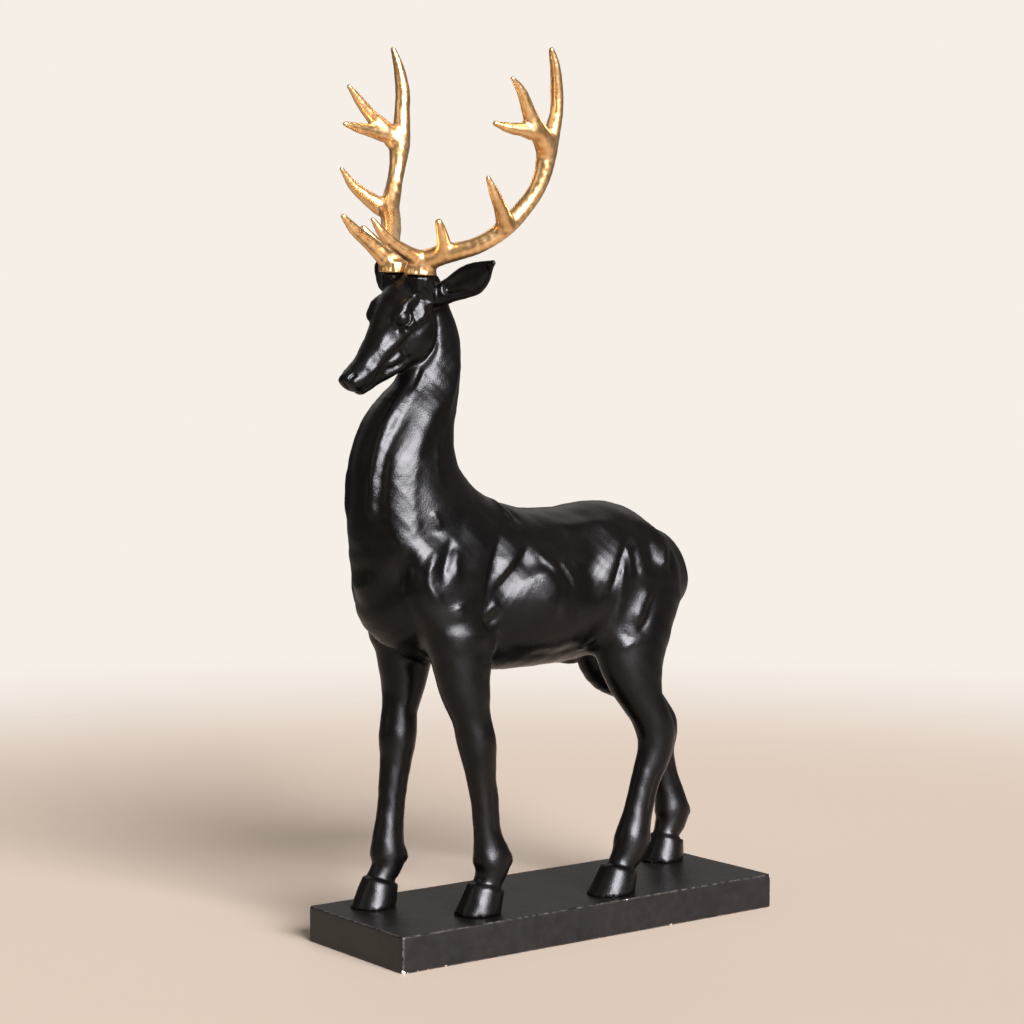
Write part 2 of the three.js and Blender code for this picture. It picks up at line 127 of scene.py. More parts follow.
SHEATH = {
    "root": (-8, 0, 177.5, 5),
    "middle": (8, 0, 175, 5, 4.6),
    "end": (18, 0, 172.6, 4.4, 4),
    "tip": (24, 0, 171, 2.4, 2.2),
}
MUSCLES = {
    "shoulder": {
        "blade": (-66, -13, 270, 8, 10),
        "ridge": (-82, -23, 253, 12, 18),
        "swell": (-98, -29, 239, 13, 25.5),
        "point": (-104, -30.5, 226, 13.5, 27),
        "arm": (-99, -31, 208, 14.5, 21),
        "elbow": (-94, -31.5, 190, 14, 18.5),
    },
    "neckFoot": {
        "top": (-119, -19, 266, 3, 4),
        "base": (-120, -28.5, 253, 5, 8),
        "breast": (-115, -31.5, 243, 5, 8),
    },
    "ribs": {
        "front": (-62, -28, 222, 12, 22),
        "middle": (-40, -30, 214, 16, 27),
        "swell": (-14, -30, 212, 14, 26),
        "rear": (12, -26, 214, 10, 20),
    },
    "haunch": {
        "top": (50, -18, 255, 8, 9),
        "swell": (60, -26, 243, 11, 16),
        "middle": (64, -28, 225, 12, 20),
        "lower": (60, -29, 204, 12, 18),
        "stifle": (54, -30.5, 186, 10, 15),
    },
    "hip": {
        "front": (26, -20, 252, 8),
        "bone": (40, -27, 247, 10, 9),
        "rear": (52, -27, 240, 8),
    },
}
LEGS = {
    "frontLeft": {
        "arm": (-93, -30, 205, 17, 23),
        "elbow": (-92.5, -31.5, 186, 15.5, 21),
        "forearm": (-91.2, -32, 170, 14, 17.8),
        "middle": (-88.2, -32, 157, 12.6, 15.2),
        "wrist": (-85, -32, 145, 10.9, 12.4),
        "knee": (-81.3, -32, 131, 11.3, 12.7),
        "underKnee": (-79, -31.5, 121, 10, 11.4),
        "cannonTop": (-76.6, -31, 106, 8, 9.7),
        "cannon": (-74.2, -31, 94, 7.4, 9.4),
        "cannonLow": (-72.4, -30.5, 78, 7, 9.1),
        "ankle": (-70.4, -30, 67.5, 8, 10.2),
        "fetlock": (-67.8, -30, 56, 10.4, 13.2),
        "pasternTop": (-68.1, -30, 49, 9.2, 11),
        "pastern": (-70.4, -29.5, 42, 8.2, 9.3),
        "coronet": (-75, -29.5, 32, 9, 10),
    },
    "frontRight": {
        "arm": (-95, 29, 205, 16, 20.5),
        "elbow": (-92.6, 30, 186, 15, 20.2),
        "forearm": (-92.7, 30, 170, 14, 17),
        "middle": (-94, 30, 157, 12.6, 13.8),
        "wrist": (-96.4, 29.5, 145, 10.6, 11.8),
        "knee": (-98.2, 29, 128, 11.2, 12.4),
        "cannonTop": (-99.6, 28.7, 114, 9, 10.8),
        "cannon": (-101.9, 28.3, 101, 8, 9.9),
        "cannonLow": (-104.4, 27.8, 82, 7.5, 9.3),
        "ankle": (-106.9, 27.2, 63, 8.9, 10.8),
        "fetlock": (-106.8, 27, 54, 10, 12.4),
        "pasternTop": (-107.8, 26.8, 47.5, 8.8, 10.2),
        "pastern": (-112.5, 26.5, 40.5, 8, 8.8),
        "coronet": (-116.5, 26, 32, 9, 10),
    },
    "hindLeft": {
        "hip": (58, -23, 226, 18, 32),
        "thigh": (48, -27, 200, 18.5, 29),
        "stifle": (44.2, -30, 180, 17.5, 26.6),
        "shinTop": (45.6, -32, 163, 15.5, 21),
        "shin": (51, -33.5, 147, 13, 15),
        "shinLow": (55.2, -34, 140, 12.4, 13.2),
        "hockTop": (59, -34.5, 132.6, 12, 13.4),
        "hock": (62.2, -35, 123, 10.6, 13.6),
        "hockLow": (61, -35, 112, 9.4, 12.6),
        "cannonTop": (58.4, -34.8, 105, 8.7, 11.8),
        "cannon": (53.5, -34.5, 94, 7.8, 10.4),
        "cannonLow": (49.8, -34.2, 81, 7.6, 10.4),
        "ankle": (46.6, -34, 69, 8.4, 10.8),
        "fetlock": (43.2, -33.8, 57, 10.2, 12.4),
        "pasternTop": (40.6, -33.6, 49, 9.6, 11.8),
        "pastern": (35, -33.3, 41, 8, 9.2),
        "coronet": (30, -33, 32, 9, 10),
    },
    "hindRight": {
        "top": (66, 10, 247, 12, 18),
        "hip": (75, 20, 228, 18, 31),
        "thigh": (79, 26, 203, 19, 32),
        "stifle": (73, 28, 182, 17.5, 28.4),
        "shinTop": (77, 29.5, 165, 15.5, 23.4),
        "shin": (91, 30, 151, 13, 16.6),
        "shinLow": (99.6, 30, 142.5, 11.8, 13.8),
        "hockTop": (108.6, 30, 134.5, 11, 12.2),
        "heelBone": (115.8, 29.8, 126.5, 10.4, 11.6),
        "hock": (122.3, 29.4, 117, 9.8, 11.8),
        "hockLow": (122.6, 29, 109, 9, 11.2),
        "cannonTop": (120.2, 28.4, 99, 8.4, 10.6),
        "cannon": (122.4, 28, 88, 7.8, 10),
        "cannonLow": (125.8, 27.6, 77, 7.6, 9.8),
        "ankle": (128.4, 27.3, 68, 8.4, 11.2),
        "fetlock": (130.3, 27, 57, 10.2, 13.2),
        "pasternTop": (129.6, 26.8, 50, 9.4, 12),
        "pastern": (124.6, 26.4, 40, 8.3, 9.2),
        "coronet": (123, 26, 32, 9, 10),
    },
}
SKULL = {
    "occiput": (-12, 0, -3, 8, 8),
    "crown": (-4, 0, -0.6, 12.5, 12.2),
    "forehead": (6, 0, 1.6, 15.6, 14.8),
    "brow": (16, 0, 1.6, 16.8, 15),
    "eyes": (27, 0, -0.4, 16.2, 13.6),
    "noseRoot": (38, 0, -2.2, 13.6, 11.4),
    "bridge": (50, 0, -3.4, 11, 9.6),
    "muzzle": (62, 0, -4, 9.8, 8.2),
    "nostrils": (71, 0, -3.2, 9.6, 7.6),
    "lip": (76, 0, -1.6, 8.4, 6.8),
    "nose": (79, 0, -1.4, 5, 4.2),
}
JAW = {
    "hinge": (12, 0, -14, 10, 8),
    "angle": (20, 0, -17.6, 12.3, 11),
    "cheek": (31, 0, -18, 13, 11),
    "mandible": (41, 0, -16.2, 11, 9.6),
    "bar": (52, 0, -13.6, 8.6, 8),
    "mouth": (62, 0, -11.2, 7.4, 6.4),
    "lip": (70, 0, -9.6, 7, 5.6),
    "chin": (76, 0, -8.2, 5.4, 4.2),
}
ORBIT = {
    "rear": (18, 12.3, 3.2, 4, 6),
    "ridge": (26.2, 13.7, 4.2, 5.4, 7.6),
    "tearDuct": (33, 12.5, 3, 4, 6),
}
MASSETER = {
    "hinge": (11, 9, -6, 4.6, 6),
    "top": (17, 9.4, -10, 7, 10),
    "swell": (24, 9.2, -13.6, 8, 12.4),
    "low": (32, 8, -15.8, 7, 10.4),
    "end": (39, 6.6, -15.4, 5, 7.4),
}
EARS = {
    "left": {
        "root": (1.5, 9, 3.6, 7.4, 7),
        "neck": (-2.4, 20.6, 9.2, 7.4, 5.6),
        "cup": (-6.6, 28, 14, 9.2, 4.6),
        "middle": (-9.5, 34, 17.5, 10, 4),
        "blade": (-12, 39, 21.8, 8.0, 3.1),
        "point": (-13.4, 42.8, 25.4, 4.6, 2.1),
        "tip": (-14.6, 47.4, 29, 0.9),
    },
    "right": {
        "root": (6, 9, 3.6, 7.4, 7),
        "neck": (6, 20.6, 9, 7.6, 5.4),
        "cup": (5, 27, 12.6, 9, 4.4),
        "middle": (4, 32.5, 15.2, 9.6, 3.8),
        "blade": (2.6, 38, 17.6, 8.6, 3),
        "point": (1.2, 42.5, 19.6, 6, 2.4),
        "tip": (0, 46, 21.6, 1.6, 1.2),
    },
}
PEDICLE = {
    "root": (9, 11, 0, 8),
    "stalk": (12, 11.6, 9, 8.4),
    "top": (13.5, 12, 19, 9),
}
ANTLERS = {
    "left": {
        "beam": {
            "burr": BURR_AT,
            "stem": (BURR["forward"], BURR["left"], 21.5, 8.6),
            "browFork": (13, 16.5, 26.5, 7),
            "spurFork": (10.7, 24, 30, 6.2),
            "low": (6, 35, 33.6, 5.5),
            "bend": (-0.8, 45, 37.8, 5.1),
            "rise": (-8, 53, 44.4, 5.1),
            "midFork": (-14.5, 58.3, 52.3, 5.5),
            "overFork": (-21.7, 61.5, 61.5, 5.2),
            "shaft": (-27.8, 64.9, 72, 4.9),
            "shaftTop": (-31.2, 67.3, 84, 5.3),
            "crownFork": (-32.7, 68, 97, 6.4, 5.8),
            "crown": (-34.9, 68.8, 108, 5),
            "spire": (-36, 70.3, 120, 4),
            "spireMiddle": (-34.6, 71, 132, 3.8),
            "spireTop": (-30.6, 72.2, 146.5, 3.1),
            "tip": (-25.2, 73.1, 157, 1.4),
        },
        "brow": {
            "root": (13.5, 14, 26, 6),
            "low": (25, 14.5, 30.4, 4.6),
            "middle": (36.3, 15, 34.9, 3.8),
            "high": (47, 14.8, 41.4, 3.1),
            "tip": (55.6, 14, 50.4, 1.2),
        },
        "spur": {
            "root": (8.5, 27.5, 31, 5.8),
            "low": (11.5, 30, 35.5, 4.5),
            "middle": (15.6, 33, 42, 3.6),
            "high": (20, 34.5, 48.6, 2.7),
            "tip": (22, 35, 52, 1.6),
        },
        "middleTine": {
            "root": (-13, 57.5, 50, 5),
            "low": (-9.2, 60, 52.5, 5.2),
            "middle": (-1.5, 64, 60.5, 4.1),
            "high": (7.4, 67, 69.8, 3),
            "tip": (14.6, 68, 79, 1.1),
        },
        "crownTine": {
            "root": (-33, 69, 96.4, 7.2),
            "low": (-24.5, 71, 104.4, 6),
            "fork": (-16.2, 72.4, 111, 5.2),
            "middle": (-10.6, 73, 118.6, 4.1),
            "high": (-3, 74.4, 129, 3),
            "tip": (6.4, 75, 137, 1.1),
        },
        "crownFront": {
            "root": (-19, 72, 106.2, 5.6),
            "low": (-9, 71.7, 107.6, 4.2),
            "middle": (1.5, 70.5, 107.9, 3.2),
            "tip": (13.4, 69, 110, 1.3),
        },
    },
    "right": {
        "beam": {
            "burr": BURR_AT,
            "stem": (BURR["forward"], BURR["left"], 21.5, 8.6),
            "browFork": (12, 16.5, 27, 7.6),
            "spurFork": (8, 24, 32, 6.8),
            "low": (1.4, 32.5, 37.5, 6.3),
            "bend": (-7, 42, 43.5, 6.3),
            "rise": (-14, 51, 50, 6.3),
            "midFork": (-18.4, 58, 57.5, 6.2),
            "overFork": (-23.6, 62.3, 66, 5.6),
            "shaft": (-27.8, 65.5, 75, 5),
            "shaftTop": (-31, 67.3, 86, 5.4),
            "crownFork": (-32.3, 68, 98, 6.8, 6.4),
            "crown": (-33.6, 68.8, 108, 5.6),
            "spire": (-34.6, 70.3, 120, 4.9),
            "spireMiddle": (-34.6, 71, 132, 4.6),
            "spireTop": (-31.4, 72.2, 146.5, 3.4),
            "tip": (-26, 73.1, 159, 1.4),
        },
        "brow": {
            "root": (13.5, 14, 24, 6.4),
            "low": (21, 14, 27.4, 5.4),
            "middle": (31, 15, 34.6, 4.5),
            "high": (45, 14.8, 43, 3.4),
            "tip": (55.6, 14, 51.2, 1.3),
        },
        "spur": {
            "root": (8.5, 26, 31, 5.8),
            "low": (13, 29, 33, 4.6),
            "middle": (18.5, 32.5, 39, 3.6),
            "tip": (22.4, 35, 45, 1.6),
        },
        "middleTine": {
            "root": (-21, 60, 57.6, 7.2),
            "low": (-15, 62.5, 57.8, 6),
            "middle": (-6, 65, 62.6, 4.6),
            "high": (5, 67.3, 70, 3.2),
            "tip": (15, 68, 80.6, 1.1),
        },
        "crownTine": {
            "root": (-32.4, 69, 98, 7.4),
            "low": (-24, 71.5, 105.6, 5.8),
            "fork": (-17, 72.8, 110.8, 4.8),
            "middle": (-10, 73.5, 116, 3.9),
            "high": (-1.6, 74.5, 124, 3),
            "tip": (7, 75, 132.4, 1.2),
        },
        "crownFront": {
            "root": (-24, 71.5, 103.4, 5.6),
            "low": (-12, 71, 105, 4.3),
            "middle": (1, 70, 106.2, 3.2),
            "tip": (13.8, 69, 108, 1.3),
        },
    },
}

# Fields are evaluated on points in millimetres, and are negative inside.
FAR = 60.0
# A limb acts this far outside its radii, and a relief line acts this far above and below its skin.
REACH = 14.0
SKIN_DEPTH = 12.0
# Over how many widths a relief line acts, and how many steps its curve takes between two points.
LINE_REACH = 2.4
LINE_STEPS = 6
# A limb is never thinner than this, and its first and last rows keep this gap to the next.
THINNEST = 0.4
TRIM_GAP = 0.3
# How widely a limb blends the stretches of its spine: a least length, and a share of its mean radius.
SOFTNESS = {"least": 0.3, "share": 0.012}
CHUNK = 30000


def both_radii(mark):
    return mark if len(mark) == 5 else (*mark, mark[3])


def smooth_curve(rows, steps):
    """Catmull-Rom points through the rows, with that many steps from one row to the next."""
    rows = np.asarray(rows, float)
    padded = np.vstack([2 * rows[0] - rows[1], rows, 2 * rows[-1] - rows[-2]])
    t = np.linspace(0, 1, steps, endpoint=False)[:, None]
    parts = []
    for a, b, c, d in zip(padded, padded[1:], padded[2:], padded[3:]):
        curve = 2 * b + (c - a) * t
        curve = curve + (2 * a - 5 * b + 4 * c - d) * t**2
        curve = curve + (3 * b - a - 3 * c + d) * t**3
        parts.append(0.5 * curve)
    return np.vstack([*parts, rows[-1:]])


def unit(vectors):
    return vectors / np.linalg.norm(vectors, axis=-1, keepdims=True)


def trimmed(frame, start, end):
    """The rows of a spine without its first and last stretch, which its rounded ends take up."""
    run = np.concatenate([[0], np.cumsum(np.linalg.norm(np.diff(frame[:, :3], axis=0), axis=1))])
    ends = [start, run[-1] - end]
    kept = run[(run > ends[0] + TRIM_GAP) & (run < ends[1] - TRIM_GAP)]
    places = np.concatenate([ends[:1], kept, ends[1:]])
    return np.stack([np.interp(places, run, column) for column in frame.T], axis=1)


class Limb:
    """A tube along a smooth spine, with an elliptical section that changes from landmark to landmark."""

    def __init__(self, rows, blend, across=LEFT_OF_BODY, cap=0.5, steps=4):
        curve = smooth_curve([both_radii(row) for row in rows], steps)
        spine, radii = curve[:, :3], np.maximum(curve[:, 3:5], THINNEST)
        tangent = unit(np.gradient(spine, axis=0))
        side = unit(across - (tangent @ across)[:, None] * tangent)
        ends = cap * radii[0].min(), cap * radii[-1].min()
        self.frame = trimmed(np.hstack([spine, radii, side, tangent]), *ends)
        self.spine, self.radii = self.frame[:, :3], self.frame[:, 3:5]
        self.blend, self.cap = blend, cap
        self.soft = SOFTNESS["least"] + SOFTNESS["share"] * self.radii.min(axis=1).mean()
        reach = self.radii.max(axis=1, keepdims=True) + REACH
        self.low, self.high = (self.spine - reach).min(axis=0), (self.spine + reach).max(axis=0)

    def distance(self, points):
        return np.concatenate([
            self.chunk_distance(points[first:first + CHUNK])
            for first in range(0, len(points), CHUNK)
        ] or [np.empty(0)])

    def chunk_distance(self, p):
        """Each point is measured from a blend of the nearest stretches of the spine."""
        start, step = self.spine[:-1], np.diff(self.spine, axis=0)
        length2 = (step**2).sum(axis=1)
        run = (p @ step.T - (start * step).sum(axis=1)) / length2
        along = np.clip(run, 0, 1)
        square = (p**2).sum(axis=1)[:, None] + (start**2).sum(axis=1) - 2 * p @ start.T
        square += (along**2 - 2 * along * run) * length2
        apart = np.sqrt(np.maximum(square, 0))
        weight = np.exp((apart.min(axis=1, keepdims=True) - apart) / self.soft)
        weight /= weight.sum(axis=1, keepdims=True)
        here = weight @ self.frame[:-1] + (weight * along) @ np.diff(self.frame, axis=0)
        centre, wide, deep = here[:, :3], here[:, 3], here[:, 4]
        side, tangent = here[:, 5:8], unit(here[:, 8:11])
        off = p - centre
        lengthwise, across = (off * tangent).sum(axis=1), (off * side).sum(axis=1)
        deep2 = np.maximum((off**2).sum(axis=1) - across**2 - lengthwise**2, 0)
        first, last, third = np.sqrt(length2[0]), np.sqrt(length2[-1]), 1 + len(step) // 3
        beyond = weight[:, :third].sum(axis=1) * np.maximum(-run[:, 0], 0) * first
        beyond += weight[:, -third:].sum(axis=1) * np.maximum(run[:, -1] - 1, 0) * last
        tip = np.minimum(wide, deep) * self.cap
        level = np.sqrt((across / wide)**2 + deep2 / deep**2 + (beyond / tip)**2)
        slope = np.sqrt((across / wide**2)**2 + deep2 / deep**4 + (beyond / tip**2)**2)
        return level * (level - 1) / np.maximum(slope, 1e-6)


class Stroke:
    """A raised or sunk line on a surface. Height is in millimetres, raised if positive.

    A pair of widths gives the slope that faces the head and the slope that faces the tail.
    """

    def __init__(self, points, height, width, fade=0.3):
        self.height, self.fade = height, fade
        self.front, self.rear = width if isinstance(width, tuple) else (width, width)
        self.width = min(self.front, self.rear)
        line = smooth_curve(points, LINE_STEPS)
        self.put(line, np.zeros_like(line))

    def put(self, line, normals):
        reach = LINE_REACH * max(self.front, self.rear)
        self.line, self.normals = line, normals
        self.low, self.high = line.min(axis=0) - reach, line.max(axis=0) + reach

    def height_at(self, points):
        start, step = self.line[:-1], np.diff(self.line, axis=0)
        length2 = (step**2).sum(axis=1)
        run = points @ step.T - (start * step).sum(axis=1)
        along = np.clip(run / length2, 0, 1)
        square = (points**2).sum(axis=1)[:, None] + (start**2).sum(axis=1) - 2 * points @ start.T
        square = square - 2 * along * run + along**2 * length2
        near = square.argmin(axis=1)
        here = along[np.arange(len(points)), near]
        place = (near + here) / len(step)
        end = np.clip(np.minimum(place, 1 - place) / self.fade, 0, 1)
        normal = self.normals[near] + here[:, None] * (self.normals[near + 1] - self.normals[near])
        off = points - start[near] - here[:, None] * step[near]
        level = (off * normal).sum(axis=1)
        aside = off - level[:, None] * normal
        width = np.where(aside[:, 0] < 0, self.front, self.rear)
        fall = np.exp(-(aside**2).sum(axis=1) / width**2 - (level / SKIN_DEPTH)**2)
        return self.height * fall * end * end * (3 - 2 * end)


def between(points, low, high):
    return ((points > low) & (points < high)).all(axis=1)


def within(points, form):
    return between(points, form.low, form.high)


def smooth_min(a, b, blend):
    h = np.clip(0.5 + 0.5 * (a - b) / blend, 0, 1)
    return a + (b - a) * h - blend * h * (1 - h)


def smooth_max(a, b, blend):
    return -smooth_min(-a, -b, blend)


def join(field, points, limbs):
    for limb in limbs:
        inside = within(points, limb)
        field[inside] = smooth_min(field[inside], limb.distance(points[inside]), limb.blend)
    return field


def cut(field, points, limbs):
    for limb in limbs:
        inside = within(points, limb)
        field[inside] = smooth_max(field[inside], -limb.distance(points[inside]), limb.blend)
    return field


def draw(field, points, strokes):
    for stroke in strokes:
        inside = within(points, stroke)
        field[inside] -= stroke.height_at(points[inside])
    return field


# The head's frame starts at the poll and runs forward, left and up. The left side hangs lower.
POLL = np.array([-100.0, 0.0, 400.0])
HEAD_YAW = math.radians(6)
HEAD_ROLL = math.radians(5)
LEVEL_LEFT = np.array([math.sin(HEAD_YAW), -math.cos(HEAD_YAW), 0.0])
UPRIGHT = np.array([0.0, 0.0, 1.0])
HEAD_FORWARD = np.array([-math.cos(HEAD_YAW), -math.sin(HEAD_YAW), 0.0])
HEAD_LEFT = math.cos(HEAD_ROLL) * LEVEL_LEFT - math.sin(HEAD_ROLL) * UPRIGHT
HEAD_UP = math.sin(HEAD_ROLL) * LEVEL_LEFT + math.cos(HEAD_ROLL) * UPRIGHT

# The face's frame lies in the head's and runs down the face, left and out of the forehead.
FACE_START = (3.0, 8.0)
FACE_PITCH = math.radians(46.6)


def head_point(mark, side=1):
    forward, left, up, *radii = mark
    return [*(POLL + forward * HEAD_FORWARD + side * left * HEAD_LEFT + up * HEAD_UP), *radii]


def face_point(mark, side=1):
    along, left, out, *radii = mark
    forward = FACE_START[0] + along * math.cos(FACE_PITCH) + out * math.sin(FACE_PITCH)
    up = FACE_START[1] - along * math.sin(FACE_PITCH) + out * math.cos(FACE_PITCH)
    return head_point((forward, left, up, *radii), side)


def on_head(marks, side=1):
    return [head_point(mark, side) for mark in marks]


def on_face(marks, side=1):
    return [face_point(mark, side) for mark in marks]


# A relief line is its height, its width and its points on the left side of the body.
BODY_LINES = {
    "front of the neck": (2.3, (4.4, 5), [
        (-111, -7, 358), (-119, -10, 347), (-128, -11, 335), (-136, -12, 323), (-142, -13, 309),
        (-145, -13, 296), (-147, -13, 283), (-147, -13, 270), (-145, -13, 257),
    ]),
    "low front of the neck": (1.2, (3, 3), [
        (-145, -13, 302), (-147, -14, 290), (-148, -14, 278), (-147, -14, 266),
    ]),
    "behind the front of the neck": (-1.0, 4, [
        (-119, -17, 342), (-129, -18, 328), (-137, -18, 314), (-141, -18, 298), (-142, -18, 282),
    ]),
    "side of the nape": (1.8, (8, 4), [
        (-80, -10, 376), (-82, -13, 362), (-87, -16, 349), (-94, -20, 337), (-101, -22, 326),
    ]),
    "cord of the neck": (2.0, (9, 4.5), [
        (-94, -19, 350), (-102, -22, 338), (-111, -24, 326), (-119, -25, 314), (-124, -26, 302),
    ]),
    "lower cord": (0.9, (9, 4), [
        (-118, -25, 316), (-123, -27, 302), (-126, -28, 289), (-127, -29, 276),
        (-125, -32, 263), (-119, -35, 252),
    ]),
    "plane of the neck": (2.0, (4.4, 10), [
        (-130, -22, 326), (-135, -22, 313), (-138, -22, 300), (-138.6, -22, 288), (-139.4, -23, 275),
        (-138, -25, 263), (-133, -28, 250), (-127, -32, 238), (-120, -35, 228),
    ]),
    "behind the cord": (-0.5, 7, [(-92, -22, 334), (-96, -26, 316), (-99, -30, 298), (-99, -34, 276)]),
    "nape edge": (0.45, 2, [
        (-89, -15, 338), (-99, -20, 324), (-106, -25, 309), (-107, -28, 298), (-106, -31, 287),
    ]),
    "nape fold": (0.35, 2, [(-101, -25, 306), (-100, -27, 296), (-95, -28, 287)]),
    "blade edge": (0.9, (2, 3), [(-116, -37, 276), (-113, -37, 269), (-110, -36, 262)]),
    "withers fold": (1.2, 2.4, [(-59, -7, 279), (-53, -12, 275), (-50, -19, 270), (-49, -26, 265)]),
    "behind the withers": (-1.0, 2.8, [
        (-56, -4, 276), (-49, -11, 272), (-45, -19, 267), (-44, -27, 262),
    ]),
    "upper arm": (1.2, 4.4, [(-105, -44, 219), (-103, -45, 214), (-101, -45, 208)]),
    "back of the shoulder": (-3.2, (2.4, 8), [
        (-62, -33, 261), (-71, -40, 250), (-77, -43, 239), (-80, -44, 229), (-85, -43, 216),
    ]),
    "shoulder blade": (0.6, 7, [(-74, -36, 262), (-85, -41, 248), (-88, -44, 232)]),
    "behind the elbow": (-1.6, 13, [(-70, -43, 248), (-73, -45, 228), (-76, -44, 206)]),
    "front of the ribs": (-3.2, (3, 9), [
        (-44, -38, 252), (-52, -43, 245), (-60, -45, 237), (-70, -45, 228), (-80, -45, 219),
    ]),
    "swell of the ribs": (3.4, (15, 7), [
        (-37, -44, 244), (-34, -45, 232), (-33, -46, 218), (-37, -45, 202),
    ]),
    "rib edge": (0.9, 2.8, [(-43, -39, 248), (-34, -42, 240), (-27, -44, 231), (-22, -45, 222)]),
    "under the rib edge": (-0.7, 3, [(-44, -41, 241), (-35, -43, 234), (-29, -45, 225)]),
    "second rib": (0.55, 1.7, [(-25, -41, 243), (-18, -43, 233), (-11, -44, 221)]),
    "between the ribs": (-0.5, 2.6, [(-29, -41, 242), (-22, -43, 232), (-16, -44, 222)]),
    "third rib": (0.4, 1.7, [(-14, -41, 241), (-10, -42, 236), (-6, -43, 230)]),
    "elbow fold": (1.1, 2.8, [(-85, -42, 209), (-79, -43, 213), (-72, -45, 218)]),
    "under the elbow fold": (-1.3, 3.2, [(-87, -43, 202), (-79, -43, 206), (-70, -45, 212)]),
    "flank fold": (1.0, 2.2, [(14, -34, 191), (8, -29, 186), (2, -25, 181)]),
    "flank hollow": (-2.0, 8, [(-4, -42, 243), (2, -43, 228), (4, -43, 212)]),
}
# The far shoulder stands back, so its point shows less.
NEAR_LINES = {
    "shoulder groove": (-1.5, 3.2, [
        (-102, -36, 259), (-107, -38, 250), (-112, -40, 240), (-114, -42, 228),
    ]),
    "arm muscle": (0.8, 3.2, [(-101, -39, 252), (-104, -41, 241), (-104, -42, 230)]),
    "jaw crease": (-2.0, (2, 3), [
        (-98, -10, 398), (-100, -12, 388), (-100.5, -12.5, 379), (-100.5, -13, 372), (-107, -13, 365),
        (-115, -11, 361),
    ]),
    "point of the shoulder": (1.6, (3, 4.5), [
        (-111, -36, 254), (-119, -37, 243), (-122, -38, 232), (-119, -41, 223), (-112, -44, 219),
    ]),
}
# Thigh lines are written for the left leg. The right leg stands further back by a shift that grows downwards.
THIGH_LINES = {
    "hip bone": (2.0, 7, [(-22, -30, 259), (-4, -29, 261), (14, -29, 262), (34, -29, 260)]),
    "hip plane": (2.5, (9, 2.6), [
        (34, -34, 258), (28, -37, 249), (20, -41, 237), (13, -43, 224), (9, -44, 215),
    ]),
    "front of the thigh": (-1.2, 2.8, [(31, -36, 252), (25, -41, 238), (19, -43, 226), (14, -44, 214)]),
    "thigh cord": (1.0, (2.6, 3), [
        (32, -37, 250), (27, -42, 234), (25, -43, 216), (23, -41, 203), (21, -36, 190),
    ]),
    "second cord": (0.8, 2.4, [(31, -37, 250), (33, -40, 241), (33, -43, 225)]),
    "behind the cords": (-1.2, (2.6, 4), [(37, -38, 248), (38, -42, 237), (38, -44, 226)]),
    "thigh muscle": (2.0, (6, 5), [(50, -42, 222), (42, -43, 208), (35, -43, 195)]),
    "ham groove": (-1.5, (2.6, 4.5), [(53, -42, 221), (45, -45, 205), (36, -46, 189)]),
    "rump line": (1.3, 3.6, [(70, -34, 249), (65, -37, 240), (62, -40, 230)]),
    "behind the rump line": (-1.1, 3.6, [(76, -32, 247), (71, -36, 236), (69, -38, 226)]),
    "croup hollow": (-1.6, 5, [(50, -36, 252), (53, -39, 241), (53, -41, 232)]),
    "knee fold": (0.6, 2.2, [(36, -45, 188), (30, -44, 184), (25, -40, 181)]),
    "knee hollow": (-0.4, 2.6, [(26, -43, 194), (30, -45, 190), (36, -46, 186)]),
}
THIGH_SHIFT = {"high": (18, 240), "low": (29, 182)}

# Face lines are written along the face, left and out of it.
FACE_LINES = {
    "brow": (1.2, 2.4, [(27, 14.6, 14), (21, 15.2, 12.8), (16, 16, 9.4), (13, 16.6, 6)]),
    "tear hollow": (-1.0, 2.0, [(31, 18.4, 0.6), (35, 16.4, 2.4), (38, 14, 5)]),
    "temple": (1.4, 4.2, [(11, 18, 4.6), (16, 17, 0.6), (21, 16, -5)]),
    "behind the brow": (-0.8, 1.8, [(20, 18.6, 7.6), (21.6, 18.4, 1.8), (25.6, 17.6, -2.6)]),
    "crest": (0.9, 1.2, [(8.4, 18.3, 11.4), (10.2, 18.4, 7.6), (12, 18.2, 4)]),
    "crest fork": (0.8, 1.2, [(10.4, 13.4, 14), (10, 16, 12.6), (9.2, 17.8, 10.6)]),
    "cheek bone": (0.9, 4.0, [(27, 18, -0.2), (37.4, 14, -0.6), (48, 11, -0.2), (62, 9, 0.3)]),
    "under the cheek bone": (-1.5, 2.0, [
        (22, 17, -5), (32, 14.4, -5.6), (43, 11.8, -7), (54, 9.6, -7.8), (63, 9, -7),
    ]),
    "cheek": (1.5, 2.8, [(40, 12, -12), (47, 10.4, -11.6), (54, 8.8, -10)]),
    "under the cheek": (-1.5, 1.5, [
        (36, 12.4, -17), (45, 10.2, -15.6), (53, 8.8, -12.8), (60, 8.2, -9.8),
    ]),
    "jaw bone": (0.9, 1.6, [(43, 10, -20.4), (52, 8.6, -17.6), (59, 7.6, -13.4)]),
    "mouth": (-1.3, 1.0, [
        (60, 8.6, -8.4), (66, 7.8, -9.6), (72, 6.4, -9.4), (77, 3.6, -9), (79.6, 0, -8.8),
    ]),
    "upper lip": (0.6, 1.1, [(62, 8.6, -6.8), (68, 8, -8), (74, 6, -7.6), (79, 2.6, -7.2)]),
    "nostril": (-1.6, 1.3, [(72.2, 6.2, 1.8), (74.6, 5.6, 3.8), (78.4, 4.8, 2.2)]),
    "nostril rim": (0.2, 1.0, [(70.6, 7.2, 0.4), (71, 6.8, 4), (73.8, 5.6, 6), (77.6, 4.4, 5.8)]),
    "nose groove": (-0.7, 0.9, [(79.6, 0, 3.6), (81.5, 0, 0), (82, 0, -5)]),
}
